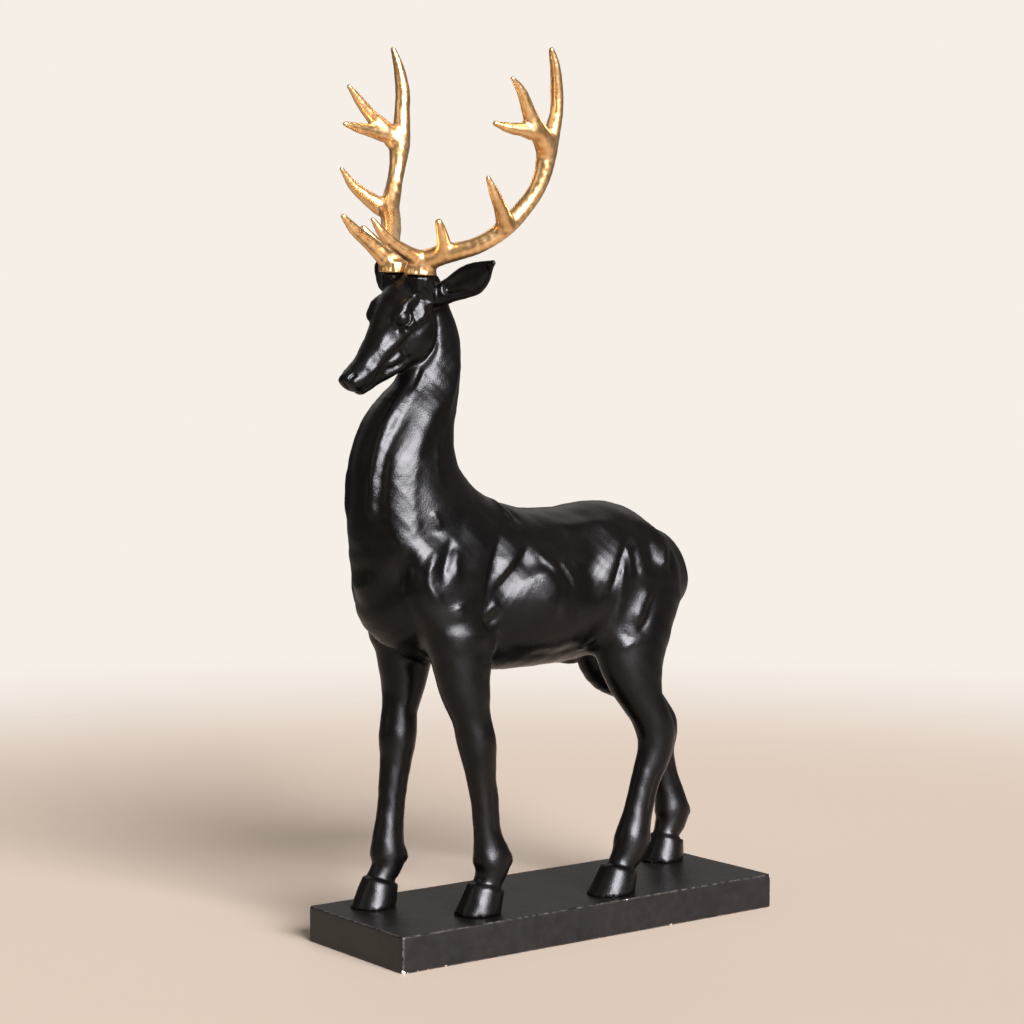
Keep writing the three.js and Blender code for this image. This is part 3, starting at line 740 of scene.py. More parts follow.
FACE_CREASES = [
    [(54, 9.4, 1.4), (56, 10, -2.8)],
    [(59, 9, 1.6), (61, 9.2, -1.6)],
    [(50.6, 10.2, 1), (52, 10.8, -2.4)],
]
CREASE = {"height": -0.25, "width": 0.6}
THROAT_LINES = {
    "rear tendon": (0.8, 2, [(-104, -11, 363), (-109, -12.5, 355), (-115, -13, 347), (-121, -13, 340)]),
    "between the tendons": (-0.55, 1.6, [(-107, -9, 362), (-112, -11, 354), (-118, -12.5, 346)]),
}
# The eye is a ball behind an oval opening.
EYE = {"at": (28.6, 13.0, 6.2), "radius": 4.9, "long": 4.6, "tall": 3.8, "skin": 18.5, "depth": 2.4}
# A fold of the lids is a share of the opening, a height, a width and the two ends of its arc.
EYE_FOLDS = [
    (1.16, 0.7, 0.8, -10, 190),
    (1.16, 0.5, 0.8, 190, 350),
    (1.5, -0.6, 0.7, 10, 170),
    (1.75, -0.8, 1.5, 200, 330),
]

# A hoof is a coronet and a sole, each x, y, z, half width and half length. The sole sinks into the plinth.
SOLE = 22.3
HOOFS = [
    {"coronet": (-71.5, -29.4, 39.5, 10.4, 11.8), "sole": (-78.2, -29, SOLE, 13.3, 16)},
    {"coronet": (-113, 26.2, 39, 10.4, 11.4), "sole": (-119, 26, SOLE, 13.3, 15)},
    {"coronet": (33, -33.2, 39, 10.8, 12.2), "sole": (26, -33, SOLE, 14, 17.2)},
    {"coronet": (126, 26.2, 39, 10.6, 11.4), "sole": (120.6, 26, SOLE, 13.4, 16)},
]
CORONET_TILT = 3.5
CORONET_SOFTNESS = 1.2
CLEFT = {"depth": 0.9, "width": 1.1}
# A hoof's field is worked out this far to each side of its sole, and up to this height.
HOOF_REACH = 32
HOOF_TOP = 60
# How softly each form runs into the rest.
BLENDS = {
    "trunk": 1, "neck": 14, "withers": 9, "muscle": 6, "skin": 2.2, "tail": 4.5,
    "leg": 8, "dewclaw": 2.6, "hoof": 0.7,
    "head": 1, "jaw": 2.0, "poll": 9, "skull": 3, "masseter": 2.0, "orbit": 5, "pedicle": 2.5,
    "facet": 0.8, "lid": 0.5, "eyeball": 0.3, "ear": 2, "earHollow": 2.2, "earRoot": 2.6,
    "antler": 3.2, "burr": 3.0, "foot": 0.3,
}
# The head's blend into the neck grows from the jaw's to the poll's between these heights.
POLL_RISE = {"from": 393, "over": 12}


def relief(lines, place=None, fade=0.3):
    """Strokes for a table of lines, each with its points put through place where it is given."""
    strokes = []
    for height, width, points in lines:
        points = [place(point) for point in points] if place else points
        strokes.append(Stroke(points, height, width, fade))
    return strokes


def opposite(point):
    x, y, z = point
    return x, -y, z


def opposite_thigh(point):
    """The right thigh stands further back, the more so lower down."""
    x, y, z = point
    (high_shift, high), (low_shift, low) = THIGH_SHIFT.values()
    share = min(max((high - z) / (high - low), 0), 1)
    return x + high_shift + (low_shift - high_shift) * share, -y, z


BODY = [
    Limb(TRUNK.values(), BLENDS["trunk"], cap=0.3),
    Limb(NECK.values(), BLENDS["neck"], cap=0.6),
    Limb(WITHERS.values(), BLENDS["withers"]),
]
SKIN_LIMBS = [
    Limb(TAIL.values(), BLENDS["tail"]),
    Limb(SHEATH.values(), BLENDS["skin"]),
]
MUSCLE_LIMBS = [Limb(muscle.values(), BLENDS["muscle"]) for muscle in MUSCLES.values()]
LEG_LIMBS = [Limb(leg.values(), BLENDS["leg"]) for leg in LEGS.values()]


# A tendon's groove lies back and out from the bone by shares of its radii.
TENDON = {"back": 0.28, "out": 0.94, "height": -0.8, "width": 1.9}


def tendon_strokes():
    """A groove down each side of each shin bone, between the bone and the tendon behind it."""
    strokes = []
    for leg in LEGS.values():
        marks = [leg[name] for name in ("cannonTop", "cannon", "cannonLow", "ankle") if name in leg]
        for side in (-1, 1):
            points = [
                (x + TENDON["back"] * deep, y + side * TENDON["out"] * wide, z)
                for x, y, z, wide, deep in marks
            ]
            strokes.append(Stroke(points, TENDON["height"], TENDON["width"]))
    return strokes


def dewclaws():
    """Two small horn buds behind each fetlock."""
    buds = []
    for leg in LEGS.values():
        x, y, z, wide, deep = leg["fetlock"]
        for side in (-1, 1):
            top = (x + 0.62 * deep, y + side * 0.4 * wide, z + 3, 2.8, 2.8)
            tip = (x + 0.78 * deep, y + side * 0.46 * wide, z - 4, 2.4, 2.4)
            buds.append(Limb([top, tip], BLENDS["dewclaw"], cap=0.9))
    return buds


DEWCLAWS = dewclaws()
BODY_STROKES = [
    *relief(BODY_LINES.values()), *relief(NEAR_LINES.values()), *relief(BODY_LINES.values(), opposite),
    *relief(THROAT_LINES.values()), *relief(THROAT_LINES.values(), opposite),
    *relief(THIGH_LINES.values()), *relief(THIGH_LINES.values(), opposite_thigh),
    *tendon_strokes(),
]


# A facet is a place and a direction along, left and out of the face, a depth and the radius of its dome.
FACE_FACETS = [
    {"at": (44, 12.4, 1.4), "facing": (0.20, 1.0, 0.52), "depth": 1.0, "radius": 70},
    {"at": (56, 10.2, 0.6), "facing": (0.20, 1.0, 0.52), "depth": 0.7, "radius": 70},
    {"at": (15, 16.4, 1.0), "facing": (0.10, 1.0, 0.45), "depth": 0.8, "radius": 45},
]


def head_limbs():
    limbs = [
        Limb(on_face(SKULL.values()), BLENDS["head"], across=HEAD_LEFT, cap=0.4),
        Limb(on_face(JAW.values()), BLENDS["skull"], across=HEAD_LEFT, cap=0.4),
    ]
    for side in (1, -1):
        limbs.append(Limb(on_face(MASSETER.values(), side), BLENDS["masseter"], across=HEAD_LEFT))
        limbs.append(Limb(on_face(ORBIT.values(), side), BLENDS["orbit"], across=HEAD_LEFT))
        limbs.append(Limb(on_head(PEDICLE.values(), side), BLENDS["pedicle"], across=HEAD_LEFT, cap=0.2))
    return limbs


EAR_CAP = 0.8
# The hollow's width at each mark, as a share of the ear's, and how far it is moved and how deep it is.
HOLLOW_SHARES = {"neck": 0.3, "cup": 0.7, "middle": 0.88, "blade": 0.86, "point": 0.7}
HOLLOW = {"forward": 1.05, "left": 0.4, "up": 0.4, "deep": 0.94}


def ear_limb(marks, side):
    return Limb(on_head(marks.values(), side), BLENDS["ear"], across=HEAD_UP, cap=EAR_CAP)


def ear_hollow(marks, side):
    """The hollow of an ear faces forward and leaves a thin rim."""
    rows = []
    for name, share in HOLLOW_SHARES.items():
        forward, left, up, wide, deep = marks[name]
        place = (forward + HOLLOW["forward"] * deep, left + HOLLOW["left"] * deep, up + HOLLOW["up"])
        rows.append((*place, share * wide, HOLLOW["deep"] * deep))
    return Limb(on_head(rows, side), BLENDS["earHollow"], across=HEAD_UP, cap=EAR_CAP)


HEAD_LIMBS = head_limbs()
EAR_LIMBS = [ear_limb(EARS["left"], 1), ear_limb(EARS["right"], -1)]
EAR_HOLLOWS = [ear_hollow(EARS["left"], 1), ear_hollow(EARS["right"], -1)]
PEDICLE_RIDGES = {"height": 0.42, "count": 11, "at": 14.5, "spread": 3.6, "reach": 11}


def eye_folds(side):
    strokes = []
    along, _, out = EYE["at"]
    for share, height, width, start, end in EYE_FOLDS:
        points = []
        for angle in np.radians(np.linspace(start, end, 13)):
            down = along + share * EYE["long"] * math.cos(angle)
            up = out + share * EYE["tall"] * math.sin(angle)
            points.append(face_point((down, EYE["skin"], up), side))
        strokes.append(Stroke(points, height, width, fade=0.25))
    return strokes


def head_strokes():
    strokes = []
    for side in (1, -1):
        def place(mark, side=side):
            return face_point(mark, side)
        strokes += relief(FACE_LINES.values(), place, fade=0.22)
        strokes += relief([(CREASE["height"], CREASE["width"], crease) for crease in FACE_CREASES], place)
        strokes += eye_folds(side)
    return strokes


HEAD_STROKES = head_strokes()
FACE_DOWN = HEAD_FORWARD * math.cos(FACE_PITCH) - HEAD_UP * math.sin(FACE_PITCH)
FACE_OUT = HEAD_FORWARD * math.sin(FACE_PITCH) + HEAD_UP * math.cos(FACE_PITCH)
HEAD_LOW = np.array([-190.0, -80.0, 330.0])
HEAD_HIGH = np.array([-60.0, 80.0, 440.0])


def hoof_distance(points, hoof):
    """A hoof widens from a tilted coronet to a level sole, with a shallow cleft down its front."""
    coronet, sole = np.array(hoof["coronet"]), np.array(hoof["sole"])
    tilt = CORONET_TILT * np.clip((points[:, 0] - coronet[0]) / coronet[4], -1, 1)
    top = coronet[2] - tilt
    drop = np.clip((top - points[:, 2]) / (top - sole[2]), 0, 1)[:, None]
    centre = coronet[:2] * (1 - drop) + sole[:2] * drop
    wide, long = (coronet[3:] * (1 - drop) + sole[3:] * drop).T
    x, y = (points[:, :2] - centre).T
    level = np.sqrt((x / long)**2 + (y / wide)**2)
    wall = (level - 1) * np.minimum(wide, long)
    cleft = CLEFT["depth"] * np.exp(-(y / CLEFT["width"])**2) * np.clip(-x / long, 0, 1)
    body = smooth_max(wall + cleft, points[:, 2] - top, CORONET_SOFTNESS)
    return np.maximum(body, sole[2] - points[:, 2])


def unevenness(points):
    """The slight waviness of a surface finished by hand."""
    x, y, z = points.T
    slow = np.sin(0.31 * x + 0.23 * z) * np.sin(0.27 * y - 0.19 * z + 1.1)
    quick = np.sin(0.83 * x - 0.61 * y + 0.4) * np.sin(0.71 * z + 0.57 * y)
    return 0.14 * slow + 0.06 * quick


def skull_field(points):
    return join(np.full(len(points), FAR), points, HEAD_LIMBS)


def face_direction(mark, side):
    along, left, out = mark
    return along * FACE_DOWN + side * left * HEAD_LEFT + out * FACE_OUT


# A facet reaches this far from its place, and its dome curves away faster beyond a distance.
FACET_REACH = 20
FACET_FALL = 60


def placed_facets():
    """Each facet's place on the skull, its direction, depth and radius, for both sides of the face."""
    placed = []
    for side in (1, -1):
        for facet in FACE_FACETS:
            top = settle(skull_field, np.array([face_point(facet["at"], side)]), **SETTLE)[0]
            facing = unit(face_direction(facet["facing"], side))
            placed.append((top, facing, facet["depth"], facet["radius"]))
    return placed


def flatten(field, points, facet):
    """Planes a patch of the face down to a wide dome."""
    top, facing, depth, radius = facet
    off = points - top
    level = off @ facing
    aside2 = np.maximum((off**2).sum(axis=1) - level**2, 0)
    near = aside2 < FACET_REACH**2
    dome = level[near] + depth - aside2[near] / (2 * radius) * (1 + aside2[near] / FACET_FALL)
    field[near] = smooth_max(field[near], dome, BLENDS["facet"])
    return field


def open_eye(field, points, side):
    """Cuts the oval opening between the lids and sets the eyeball behind it."""
    off = points - np.array(face_point(EYE["at"], side))
    along, out, outward = off @ FACE_DOWN, off @ FACE_OUT, side * (off @ HEAD_LEFT)
    oval = (np.hypot(along / EYE["long"], out / EYE["tall"]) - 1) * EYE["tall"]
    field = smooth_max(field, -np.maximum(oval, EYE["depth"] - outward), BLENDS["lid"])
    return smooth_min(field, np.linalg.norm(off, axis=1) - EYE["radius"], BLENDS["eyeball"])


def pedicle_ridges(points, side):
    """Fine upright wrinkles in the skin under a burr."""
    off = points - np.array(head_point((BURR["forward"], BURR["left"], PEDICLE_RIDGES["at"]), side))
    angle = np.arctan2(off @ HEAD_LEFT, off @ HEAD_FORWARD)
    near = np.exp(-(np.linalg.norm(off, axis=1) / PEDICLE_RIDGES["reach"])**4)
    near = near * np.exp(-((off @ HEAD_UP) / PEDICLE_RIDGES["spread"])**2)
    return PEDICLE_RIDGES["height"] * near * np.cos(PEDICLE_RIDGES["count"] * angle + 2 * np.sin(2 * angle))


def head_field(points):
    field = skull_field(points)
    for facet in FACETS:
        field = flatten(field, points, facet)
    field = draw(field, points, HEAD_STROKES)
    for side in (1, -1):
        field = field + pedicle_ridges(points, side)
        field = open_eye(field, points, side)
    ears = cut(join(np.full(len(points), FAR), points, EAR_LIMBS), points, EAR_HOLLOWS)
    return smooth_min(field, ears, BLENDS["earRoot"])


def body_field(points):
    """Trunk, neck and legs before any relief. Muscles are alike on both sides."""
    left = points.copy()
    left[:, 1] = -np.abs(left[:, 1])
    field = join(np.full(len(points), FAR), points, BODY)
    field = join(field, left, MUSCLE_LIMBS)
    return join(field, points, LEG_LIMBS)


def stag_field(points):
    field = draw(body_field(points), points, BODY_STROKES)
    field = join(field, points, SKIN_LIMBS + DEWCLAWS)
    near_head = between(points, HEAD_LOW, HEAD_HIGH)
    near = points[near_head]
    rise = np.clip((near[:, 2] - POLL_RISE["from"]) / POLL_RISE["over"], 0, 1)
    softness = BLENDS["jaw"] + (BLENDS["poll"] - BLENDS["jaw"]) * rise
    field[near_head] = smooth_min(field[near_head], head_field(near), softness)
    for hoof in HOOFS:
        beside = (np.abs(points[:, :2] - hoof["sole"][:2]) < HOOF_REACH).all(axis=1)
        reach = beside & (points[:, 2] < HOOF_TOP)
        field[reach] = smooth_min(field[reach], hoof_distance(points[reach], hoof), BLENDS["hoof"])
    return field + unevenness(points)


# Meshing
CORNERS = np.array([(i, j, k) for i in (0, 1) for j in (0, 1) for k in (0, 1)])
EDGES = [(a, b) for a in range(8) for b in range(a + 1, 8) if abs(CORNERS[a] - CORNERS[b]).sum() == 1]
GRID_CHUNK = 400000
# Every third place of the grid is sampled first, and the rest only this close to the surface.
COARSE = 3
COARSE_REACH = 1.7


def sample(field, axes):
    grid = np.stack(np.meshgrid(*axes, indexing="ij"), axis=-1).reshape(-1, 3)
    return sample_points(field, grid).reshape([len(axis) for axis in axes])


def sample_points(field, points):
    return np.concatenate([field(points[i:i + GRID_CHUNK]) for i in range(0, len(points), GRID_CHUNK)])


def grid_values(field, axes, cell):
    """Field values on a grid. Away from the surface they are copied from a coarser grid."""
    coarse = [axis[::COARSE] for axis in axes]
    rough = sample(field, coarse)
    values = rough
    for axis in range(3):
        nearest = np.minimum((np.arange(len(axes[axis])) + COARSE // 2) // COARSE, len(coarse[axis]) - 1)
        values = np.take(values, nearest, axis)
    near = np.argwhere(np.abs(values) < COARSE * cell * COARSE_REACH)
    points = np.stack([axes[k][near[:, k]] for k in range(3)], axis=1)
    values[tuple(near.T)] = sample_points(field, points)
    return values


def surface_net(field, low, high, cell):
    """Vertices and quads of a field's zero level, one vertex to each grid cell that it crosses."""
    sizes = np.ceil((np.asarray(high) - low) / cell).astype(int) + 1
    axes = [low[i] + cell * np.arange(sizes[i]) for i in range(3)]
    values = grid_values(field, axes, cell)
    inside = values < 0
    count = np.zeros(sizes - 1, int)
    for i, j, k in CORNERS:
        count += inside[i:sizes[0] - 1 + i, j:sizes[1] - 1 + j, k:sizes[2] - 1 + k]
    crossed = (count > 0) & (count < 8)
    cells = np.argwhere(crossed)
    index = np.full(sizes - 1, -1)
    index[crossed] = np.arange(len(cells))
    total, hits = np.zeros((len(cells), 3)), np.zeros(len(cells))
    for a, b in EDGES:
        start, end = values[tuple((cells + CORNERS[a]).T)], values[tuple((cells + CORNERS[b]).T)]
        cross = (start < 0) != (end < 0)
        share = (start[cross] / (start[cross] - end[cross]))[:, None]
        total[cross] += CORNERS[a] + (CORNERS[b] - CORNERS[a]) * share
        hits[cross] += 1
    vertices = np.asarray(low) + cell * (cells + total / hits[:, None])
    quads = []
    for axis in range(3):
        second, third = (axis + 1) % 3, (axis + 2) % 3
        lower = np.take(inside, range(sizes[axis] - 1), axis)
        upper = np.take(inside, range(1, sizes[axis]), axis)
        edges = np.argwhere(lower != upper)
        edges = edges[(edges[:, second] > 0) & (edges[:, third] > 0)]
        edges = edges[(edges[:, second] < sizes[second] - 1) & (edges[:, third] < sizes[third] - 1)]
        ring = []
        for j, k in ((1, 1), (0, 1), (0, 0), (1, 0)):
            back = np.zeros(3, int)
            back[second], back[third] = j, k
            ring.append(index[tuple((edges - back).T)])
        ring = np.stack(ring, axis=1)
        outward = lower[tuple(edges.T)]
        quads.append(np.where(outward[:, None], ring, ring[:, ::-1]))
    return vertices, np.concatenate(quads)


# A slope is taken from four probes round a point.
TETRAHEDRON = np.array([(1, -1, -1), (-1, -1, 1), (-1, 1, -1), (1, 1, 1)], float)
PROBE = 0.2
FLATTEST = 0.2
# How single points and lines are brought onto a surface.
SETTLE = {"rounds": 6, "most": 2.0}


def level_and_slope(field, vertices):
    values = np.stack([field(vertices + PROBE * corner) for corner in TETRAHEDRON])
    return values.mean(axis=0), np.einsum("cn,ck->nk", values, TETRAHEDRON) / (4 * PROBE)


def settle(field, vertices, rounds, most):
    """Moves the vertices onto the field's zero level, by at most that far in each round."""
    for _ in range(rounds):
        level, slope = level_and_slope(field, vertices)
        step = level / np.maximum((slope**2).sum(axis=1), FLATTEST)
        step = np.clip(step, -most, most)
        vertices = vertices - slope * step[:, None]
    return vertices


def lay_on(field, strokes):
    """Moves relief lines onto the surface that they are drawn on."""
    ends = np.cumsum([len(stroke.line) for stroke in strokes])[:-1]
    lines = settle(field, np.concatenate([stroke.line for stroke in strokes]), **SETTLE)
    _, slope = level_and_slope(field, lines)
    for stroke, line, normals in zip(strokes, np.split(lines, ends), np.split(unit(slope), ends)):
        stroke.put(line, normals)


def relax(vertices, edges, slope, strength):
    """Evens out the spacing along the surface, without moving the vertices off it."""
    pairs = np.concatenate([edges, edges[:, ::-1]])
    count = np.bincount(pairs[:, 0], minlength=len(vertices))
    sums = [np.bincount(pairs[:, 0], vertices[pairs[:, 1], k], len(vertices)) for k in range(3)]
    mean = np.stack(sums, axis=1)
    move = mean / np.maximum(count, 1)[:, None] - vertices
    normal = slope / np.maximum(np.linalg.norm(slope, axis=1, keepdims=True), 1e-6)
    return vertices + strength * (move - (move * normal).sum(axis=1, keepdims=True) * normal)


RELAX = {"first": 0.5, "finer": 0.4}


def mesh_arrays(bm):
    bm.verts.index_update()
    vertices = np.array([v.co for v in bm.verts])
    edges = np.array([[v.index for v in edge.verts] for edge in bm.edges])
    return vertices, edges


def subdivide(bm, chosen):
    """Halves every edge between two chosen vertices."""
    cuts = [edge for edge in bm.edges if chosen[edge.verts[0].index] and chosen[edge.verts[1].index]]
    bmesh.ops.subdivide_edges(bm, edges=cuts, cuts=1, use_grid_fill=True)


def put(bm, vertices):
    for vert, place in zip(bm.verts, vertices):
        vert.co = place


def link_object(name, data):
    thing = bpy.data.objects.new(name, data)
    bpy.context.scene.collection.objects.link(thing)
    return thing


def as_piece(name, bm):
    mesh = bpy.data.meshes.new(name)
    bm.to_mesh(mesh)
    bm.free()
    mesh.shade_smooth()
    return link_object(name, mesh)


def sculpt(name, field, low, high, cell, finer=()):
    """A closed mesh of a field. Each finer region halves the spacing of the mesh inside it."""
    vertices, quads = surface_net(field, low, high, cell)
    bm = bmesh.new()
    made = [bm.verts.new(v) for v in vertices]
    for quad in quads:
        bm.faces.new([made[i] for i in quad])
    bm.normal_update()
    _, edges = mesh_arrays(bm)
    for _ in range(2):
        _, slope = level_and_slope(field, vertices)
        vertices = settle(field, relax(vertices, edges, slope, RELAX["first"]), 1, cell)
    put(bm, vertices)
    for region in finer:
        inside = region(vertices)
        bm.verts.index_update()
        subdivide(bm, inside)
        bmesh.ops.triangulate(bm, faces=[face for face in bm.faces if len(face.verts) > 4])
        vertices, edges = mesh_arrays(bm)
        _, slope = level_and_slope(field, vertices)
        vertices = settle(field, relax(vertices, edges, slope, RELAX["finer"]), 2, cell / 2)
        put(bm, vertices)
    vertices = np.clip(vertices, np.array(CAD_BOX[0]) / MM, np.array(CAD_BOX[1]) / MM)
    put(bm, vertices * MM)
    return as_piece(name, bm)


# Antlers
def burr_distance(points, side):
    """The burr is a low ribbed collar round the foot of an antler."""
    centre = np.array(head_point((BURR["forward"], BURR["left"], BURR["up"]), side))
    off = points - centre
    up, forward, left = off @ HEAD_UP, off @ HEAD_FORWARD, off @ HEAD_LEFT
    angle = np.arctan2(left, forward)
    ribs = 0.15 * np.cos(11 * angle + 2.3 * np.sin(3 * angle))
    ribs = ribs + 0.15 * np.cos(19 * angle + 3 * np.sin(2 * angle))
    radius = BURR["radius"] + 1.0 - 0.26 * np.maximum(up, 0) + ribs * np.clip(1.4 - up / 7, 0, 1)
    return smooth_max(np.hypot(forward, left) - radius, np.abs(up - 3.2) - 3.6, 1.0)


def antler_field(marks, side):
    """Beam and tines with a shallow furrowed skin, cut flat at the foot of the burr."""
    limbs = [
        Limb(on_head(branch.values(), side), BLENDS["antler"], across=HEAD_FORWARD, cap=0.8)
        for branch in marks.values()
    ]
    foot = np.array(head_point((BURR["forward"], BURR["left"], BURR["up"] - 0.25), side))

    def field(points):
        branches = join(np.full(len(points), FAR), points, limbs)
        whole = smooth_min(branches, burr_distance(points, side), BLENDS["burr"])
        x, y, z = points.T
        furrows = 0.10 * np.sin(0.9 * x + 0.35 * z + 1.2 * np.sin(0.21 * z)) * np.sin(0.8 * y - 0.3 * z)
        beads = 0.05 * np.sin(2.1 * x + 0.7) * np.sin(2.3 * y) * np.sin(1.7 * z)
        whole = whole + furrows + beads
        return smooth_max(whole, -(points - foot) @ HEAD_UP, BLENDS["foot"])
    return field


def box_of(marks, side):
    rows = np.array([both_radii(row) for branch in marks.values() for row in on_head(branch.values(), side)])
    radius = rows[:, 3:].max(axis=1, keepdims=True) + 3
    return (rows[:, :3] - radius).min(axis=0), (rows[:, :3] + radius).max(axis=0)


# Plinth
PLINTH = {"half": np.array([150.0, 52.0, 11.35]), "edge": 1.5, "arc": 4, "spacing": 3.0}
TOP_WAVE = 0.22
# A chip is x, y, z, its radius and its depth.
CHIPS = [
    (-149.2, -51.6, 0.8, 1.5, 0.6), (-146, -52, 0.3, 0.8, 0.3), (-139, -52, 0.2, 0.7, 0.3),
    (-131, -52, 0.2, 0.7, 0.3), (-118, -52, 0.2, 0.8, 0.3), (-104, -52, 0.2, 0.6, 0.3),
    (-88, -52, 0.2, 0.7, 0.3), (24, -52, 22.5, 0.8, 0.3), (62, -52, 0.3, 0.8, 0.3),
    (118, -52, 22.6, 0.7, 0.3), (149.4, -51.7, 21.6, 0.9, 0.3), (-149.8, 51.6, 22.4, 0.9, 0.3),
    (-40, 52, 22.5, 0.8, 0.3), (96, 52, 0.3, 0.9, 0.3),
]


def plinth_steps(half):
    """Places along one edge of a face: an even run between two arcs."""
    edge, arc = PLINTH["edge"], PLINTH["arc"]
    inner = half - edge
    bend = inner + edge * np.tan(np.linspace(0, math.pi / 4, arc + 1))
    run = np.linspace(-inner, inner, max(2, round(2 * inner / PLINTH["spacing"])) + 1)
    return np.concatenate([-bend[:0:-1], run, bend[1:]])


def plinth_face(axis, sign):
    """A grid over one face of the box, before its edges are rounded."""
    half = PLINTH["half"]
    second, third = (axis + 1) % 3, (axis + 2) % 3
    u, v = plinth_steps(half[second]), plinth_steps(half[third])
    places = np.empty((len(u), len(v), 3))
    places[..., axis] = sign * half[axis]
    places[..., second], places[..., third] = u[:, None], v[None, :]
    index = np.arange(len(u) * len(v)).reshape(len(u), len(v))
    corners = [index[:-1, :-1], index[1:, :-1], index[1:, 1:], index[:-1, 1:]]
    quads = np.stack(corners, axis=-1).reshape(-1, 4)
    return places.reshape(-1, 3), quads if sign > 0 else quads[:, ::-1]


def rounded(places):
    inner = np.clip(places, PLINTH["edge"] - PLINTH["half"], PLINTH["half"] - PLINTH["edge"])
    return inner + PLINTH["edge"] * unit(places - inner)


def build_plinth():
    bm = bmesh.new()
    for axis in range(3):
        for sign in (-1, 1):
            places, quads = plinth_face(axis, sign)
            made = [bm.verts.new(place) for place in rounded(places)]
            for quad in quads:
                bm.faces.new([made[i] for i in quad])
    bmesh.ops.remove_doubles(bm, verts=bm.verts, dist=0.01)
    chips = np.array(CHIPS)
    chips[:, 2] -= PLINTH["half"][2]
    for _ in range(2):
        vertices, _ = mesh_arrays(bm)
        gap = np.linalg.norm(vertices[:, None] - chips[None, :, :3], axis=2) - 1.6 * chips[:, 3]
        subdivide(bm, gap.min(axis=1) < 1.5)
    vertices, _ = mesh_arrays(bm)
    x, y, z = vertices.T
    high = PLINTH["half"][2]
    wave = np.sin(0.047 * x + 0.6) * np.sin(0.071 * y + 0.3) + 0.5 * np.sin(0.11 * x - 0.09 * y)
    top = np.clip((z - high + 0.6) / 0.6, 0, 1)
    moved = vertices.copy()
    moved[:, 2] -= top * TOP_WAVE * (0.5 + wave / 3)
    chipped = np.zeros(len(vertices))
    for *place, radius, depth in chips:
        off = vertices - place
        ragged = 1 + 0.3 * np.sin(3.1 * x + 2.3 * z) * np.sin(2.7 * y + 1.9 * x)
        share = np.exp(-((np.linalg.norm(off, axis=1) / (radius * ragged))**4))
        inward = unit(-np.array(place) * [0.3, 1, 3])
        moved += depth * share[:, None] * inward
        chipped = np.maximum(chipped, share)
    moved[:, 2] += high
    inner = np.clip(vertices, PLINTH["edge"] - PLINTH["half"], PLINTH["half"] - PLINTH["edge"])
    sharp = 1 - np.abs(unit(vertices - inner + 1e-9)).max(axis=1)
    worn = np.clip(sharp / 0.29, 0, 1)
    put(bm, moved * MM)
    piece = as_piece("plinth_cast", bm)
    for name, values in (("chipped", chipped), ("worn", worn)):
        places = piece.data.attributes.new(name, "FLOAT", "POINT").data
        places.foreach_set("value", values.astype(np.float32))
    return piece


# Materials
class Nodes:
    """A material's node tree, with short calls for the nodes that are used here."""

    def __init__(self, name, roughness, metallic=0.0, specular=0.5):
        self.material = bpy.data.materials.new(name)
        self.material.use_nodes = True
        self.tree = self.material.node_tree
        self.shader = self.tree.nodes["Principled BSDF"]
        self.shader.inputs["Metallic"].default_value = metallic
        self.shader.inputs["Roughness"].default_value = roughness
        self.shader.inputs["Specular IOR Level"].default_value = specular
        self.place = self.tree.nodes.new("ShaderNodeTexCoord").outputs["Object"]

    def link(self, output, target):
        self.tree.links.new(output, target)

    def noise(self, scale, detail=4.0, roughness=0.55):
        node = self.tree.nodes.new("ShaderNodeTexNoise")
        node.inputs["Scale"].default_value = scale
        node.inputs["Detail"].default_value = detail
        node.inputs["Roughness"].default_value = roughness
        self.link(self.place, node.inputs["Vector"])
        return node.outputs["Fac"]

    def ramp(self, factor, *stops):
        node = self.tree.nodes.new("ShaderNodeValToRGB")
        while len(node.color_ramp.elements) < len(stops):
            node.color_ramp.elements.new(0.5)
        for element, (place, colour) in zip(node.color_ramp.elements, stops):
            element.position = place
            element.color = (*colour, 1)
        self.link(factor, node.inputs["Fac"])
        return node.outputs["Color"]

    def spread(self, factor, low, high, start=0.3, end=0.7):
        node = self.tree.nodes.new("ShaderNodeMapRange")
        for name, value in (("From Min", start), ("From Max", end), ("To Min", low), ("To Max", high)):
            node.inputs[name].default_value = value
        self.link(factor, node.inputs["Value"])
        return node.outputs["Result"]

    def mix(self, factor, first, second):
        node = self.tree.nodes.new("ShaderNodeMix")
        node.data_type = "RGBA"
        self.link(factor, node.inputs[0])
        self.link(first, node.inputs[6])
        node.inputs[7].default_value = (*second, 1)
        return node.outputs[2]

    def attribute(self, name):
        node = self.tree.nodes.new("ShaderNodeAttribute")
        node.attribute_name = name
        return node.outputs["Fac"]

    def bump(self, height, strength, distance):
        node = self.tree.nodes.new("ShaderNodeBump")
        node.inputs["Strength"].default_value = strength
        node.inputs["Distance"].default_value = distance
        self.link(height, node.inputs["Height"])
        self.link(node.outputs["Normal"], self.shader.inputs["Normal"])

    def colour(self, output):
        self.link(output, self.shader.inputs["Base Color"])

    def roughness(self, output):
        self.link(output, self.shader.inputs["Roughness"])


def satin_black():
    """Satin black paint, a little uneven and faintly brown where it is thin."""
    nodes = Nodes("body_black", 0.3, specular=0.2)
    patches = nodes.noise(38, 3)
    nodes.colour(nodes.ramp(patches, (0.32, (0.0006, 0.0005, 0.0005)), (0.7, (0.0016, 0.0011, 0.0009))))
    grain = nodes.noise(1100, 2)
    nodes.roughness(nodes.spread(nodes.noise(120, 5), 0.26, 0.33))
    nodes.bump(grain, 0.30, 0.0004)
    return nodes.material


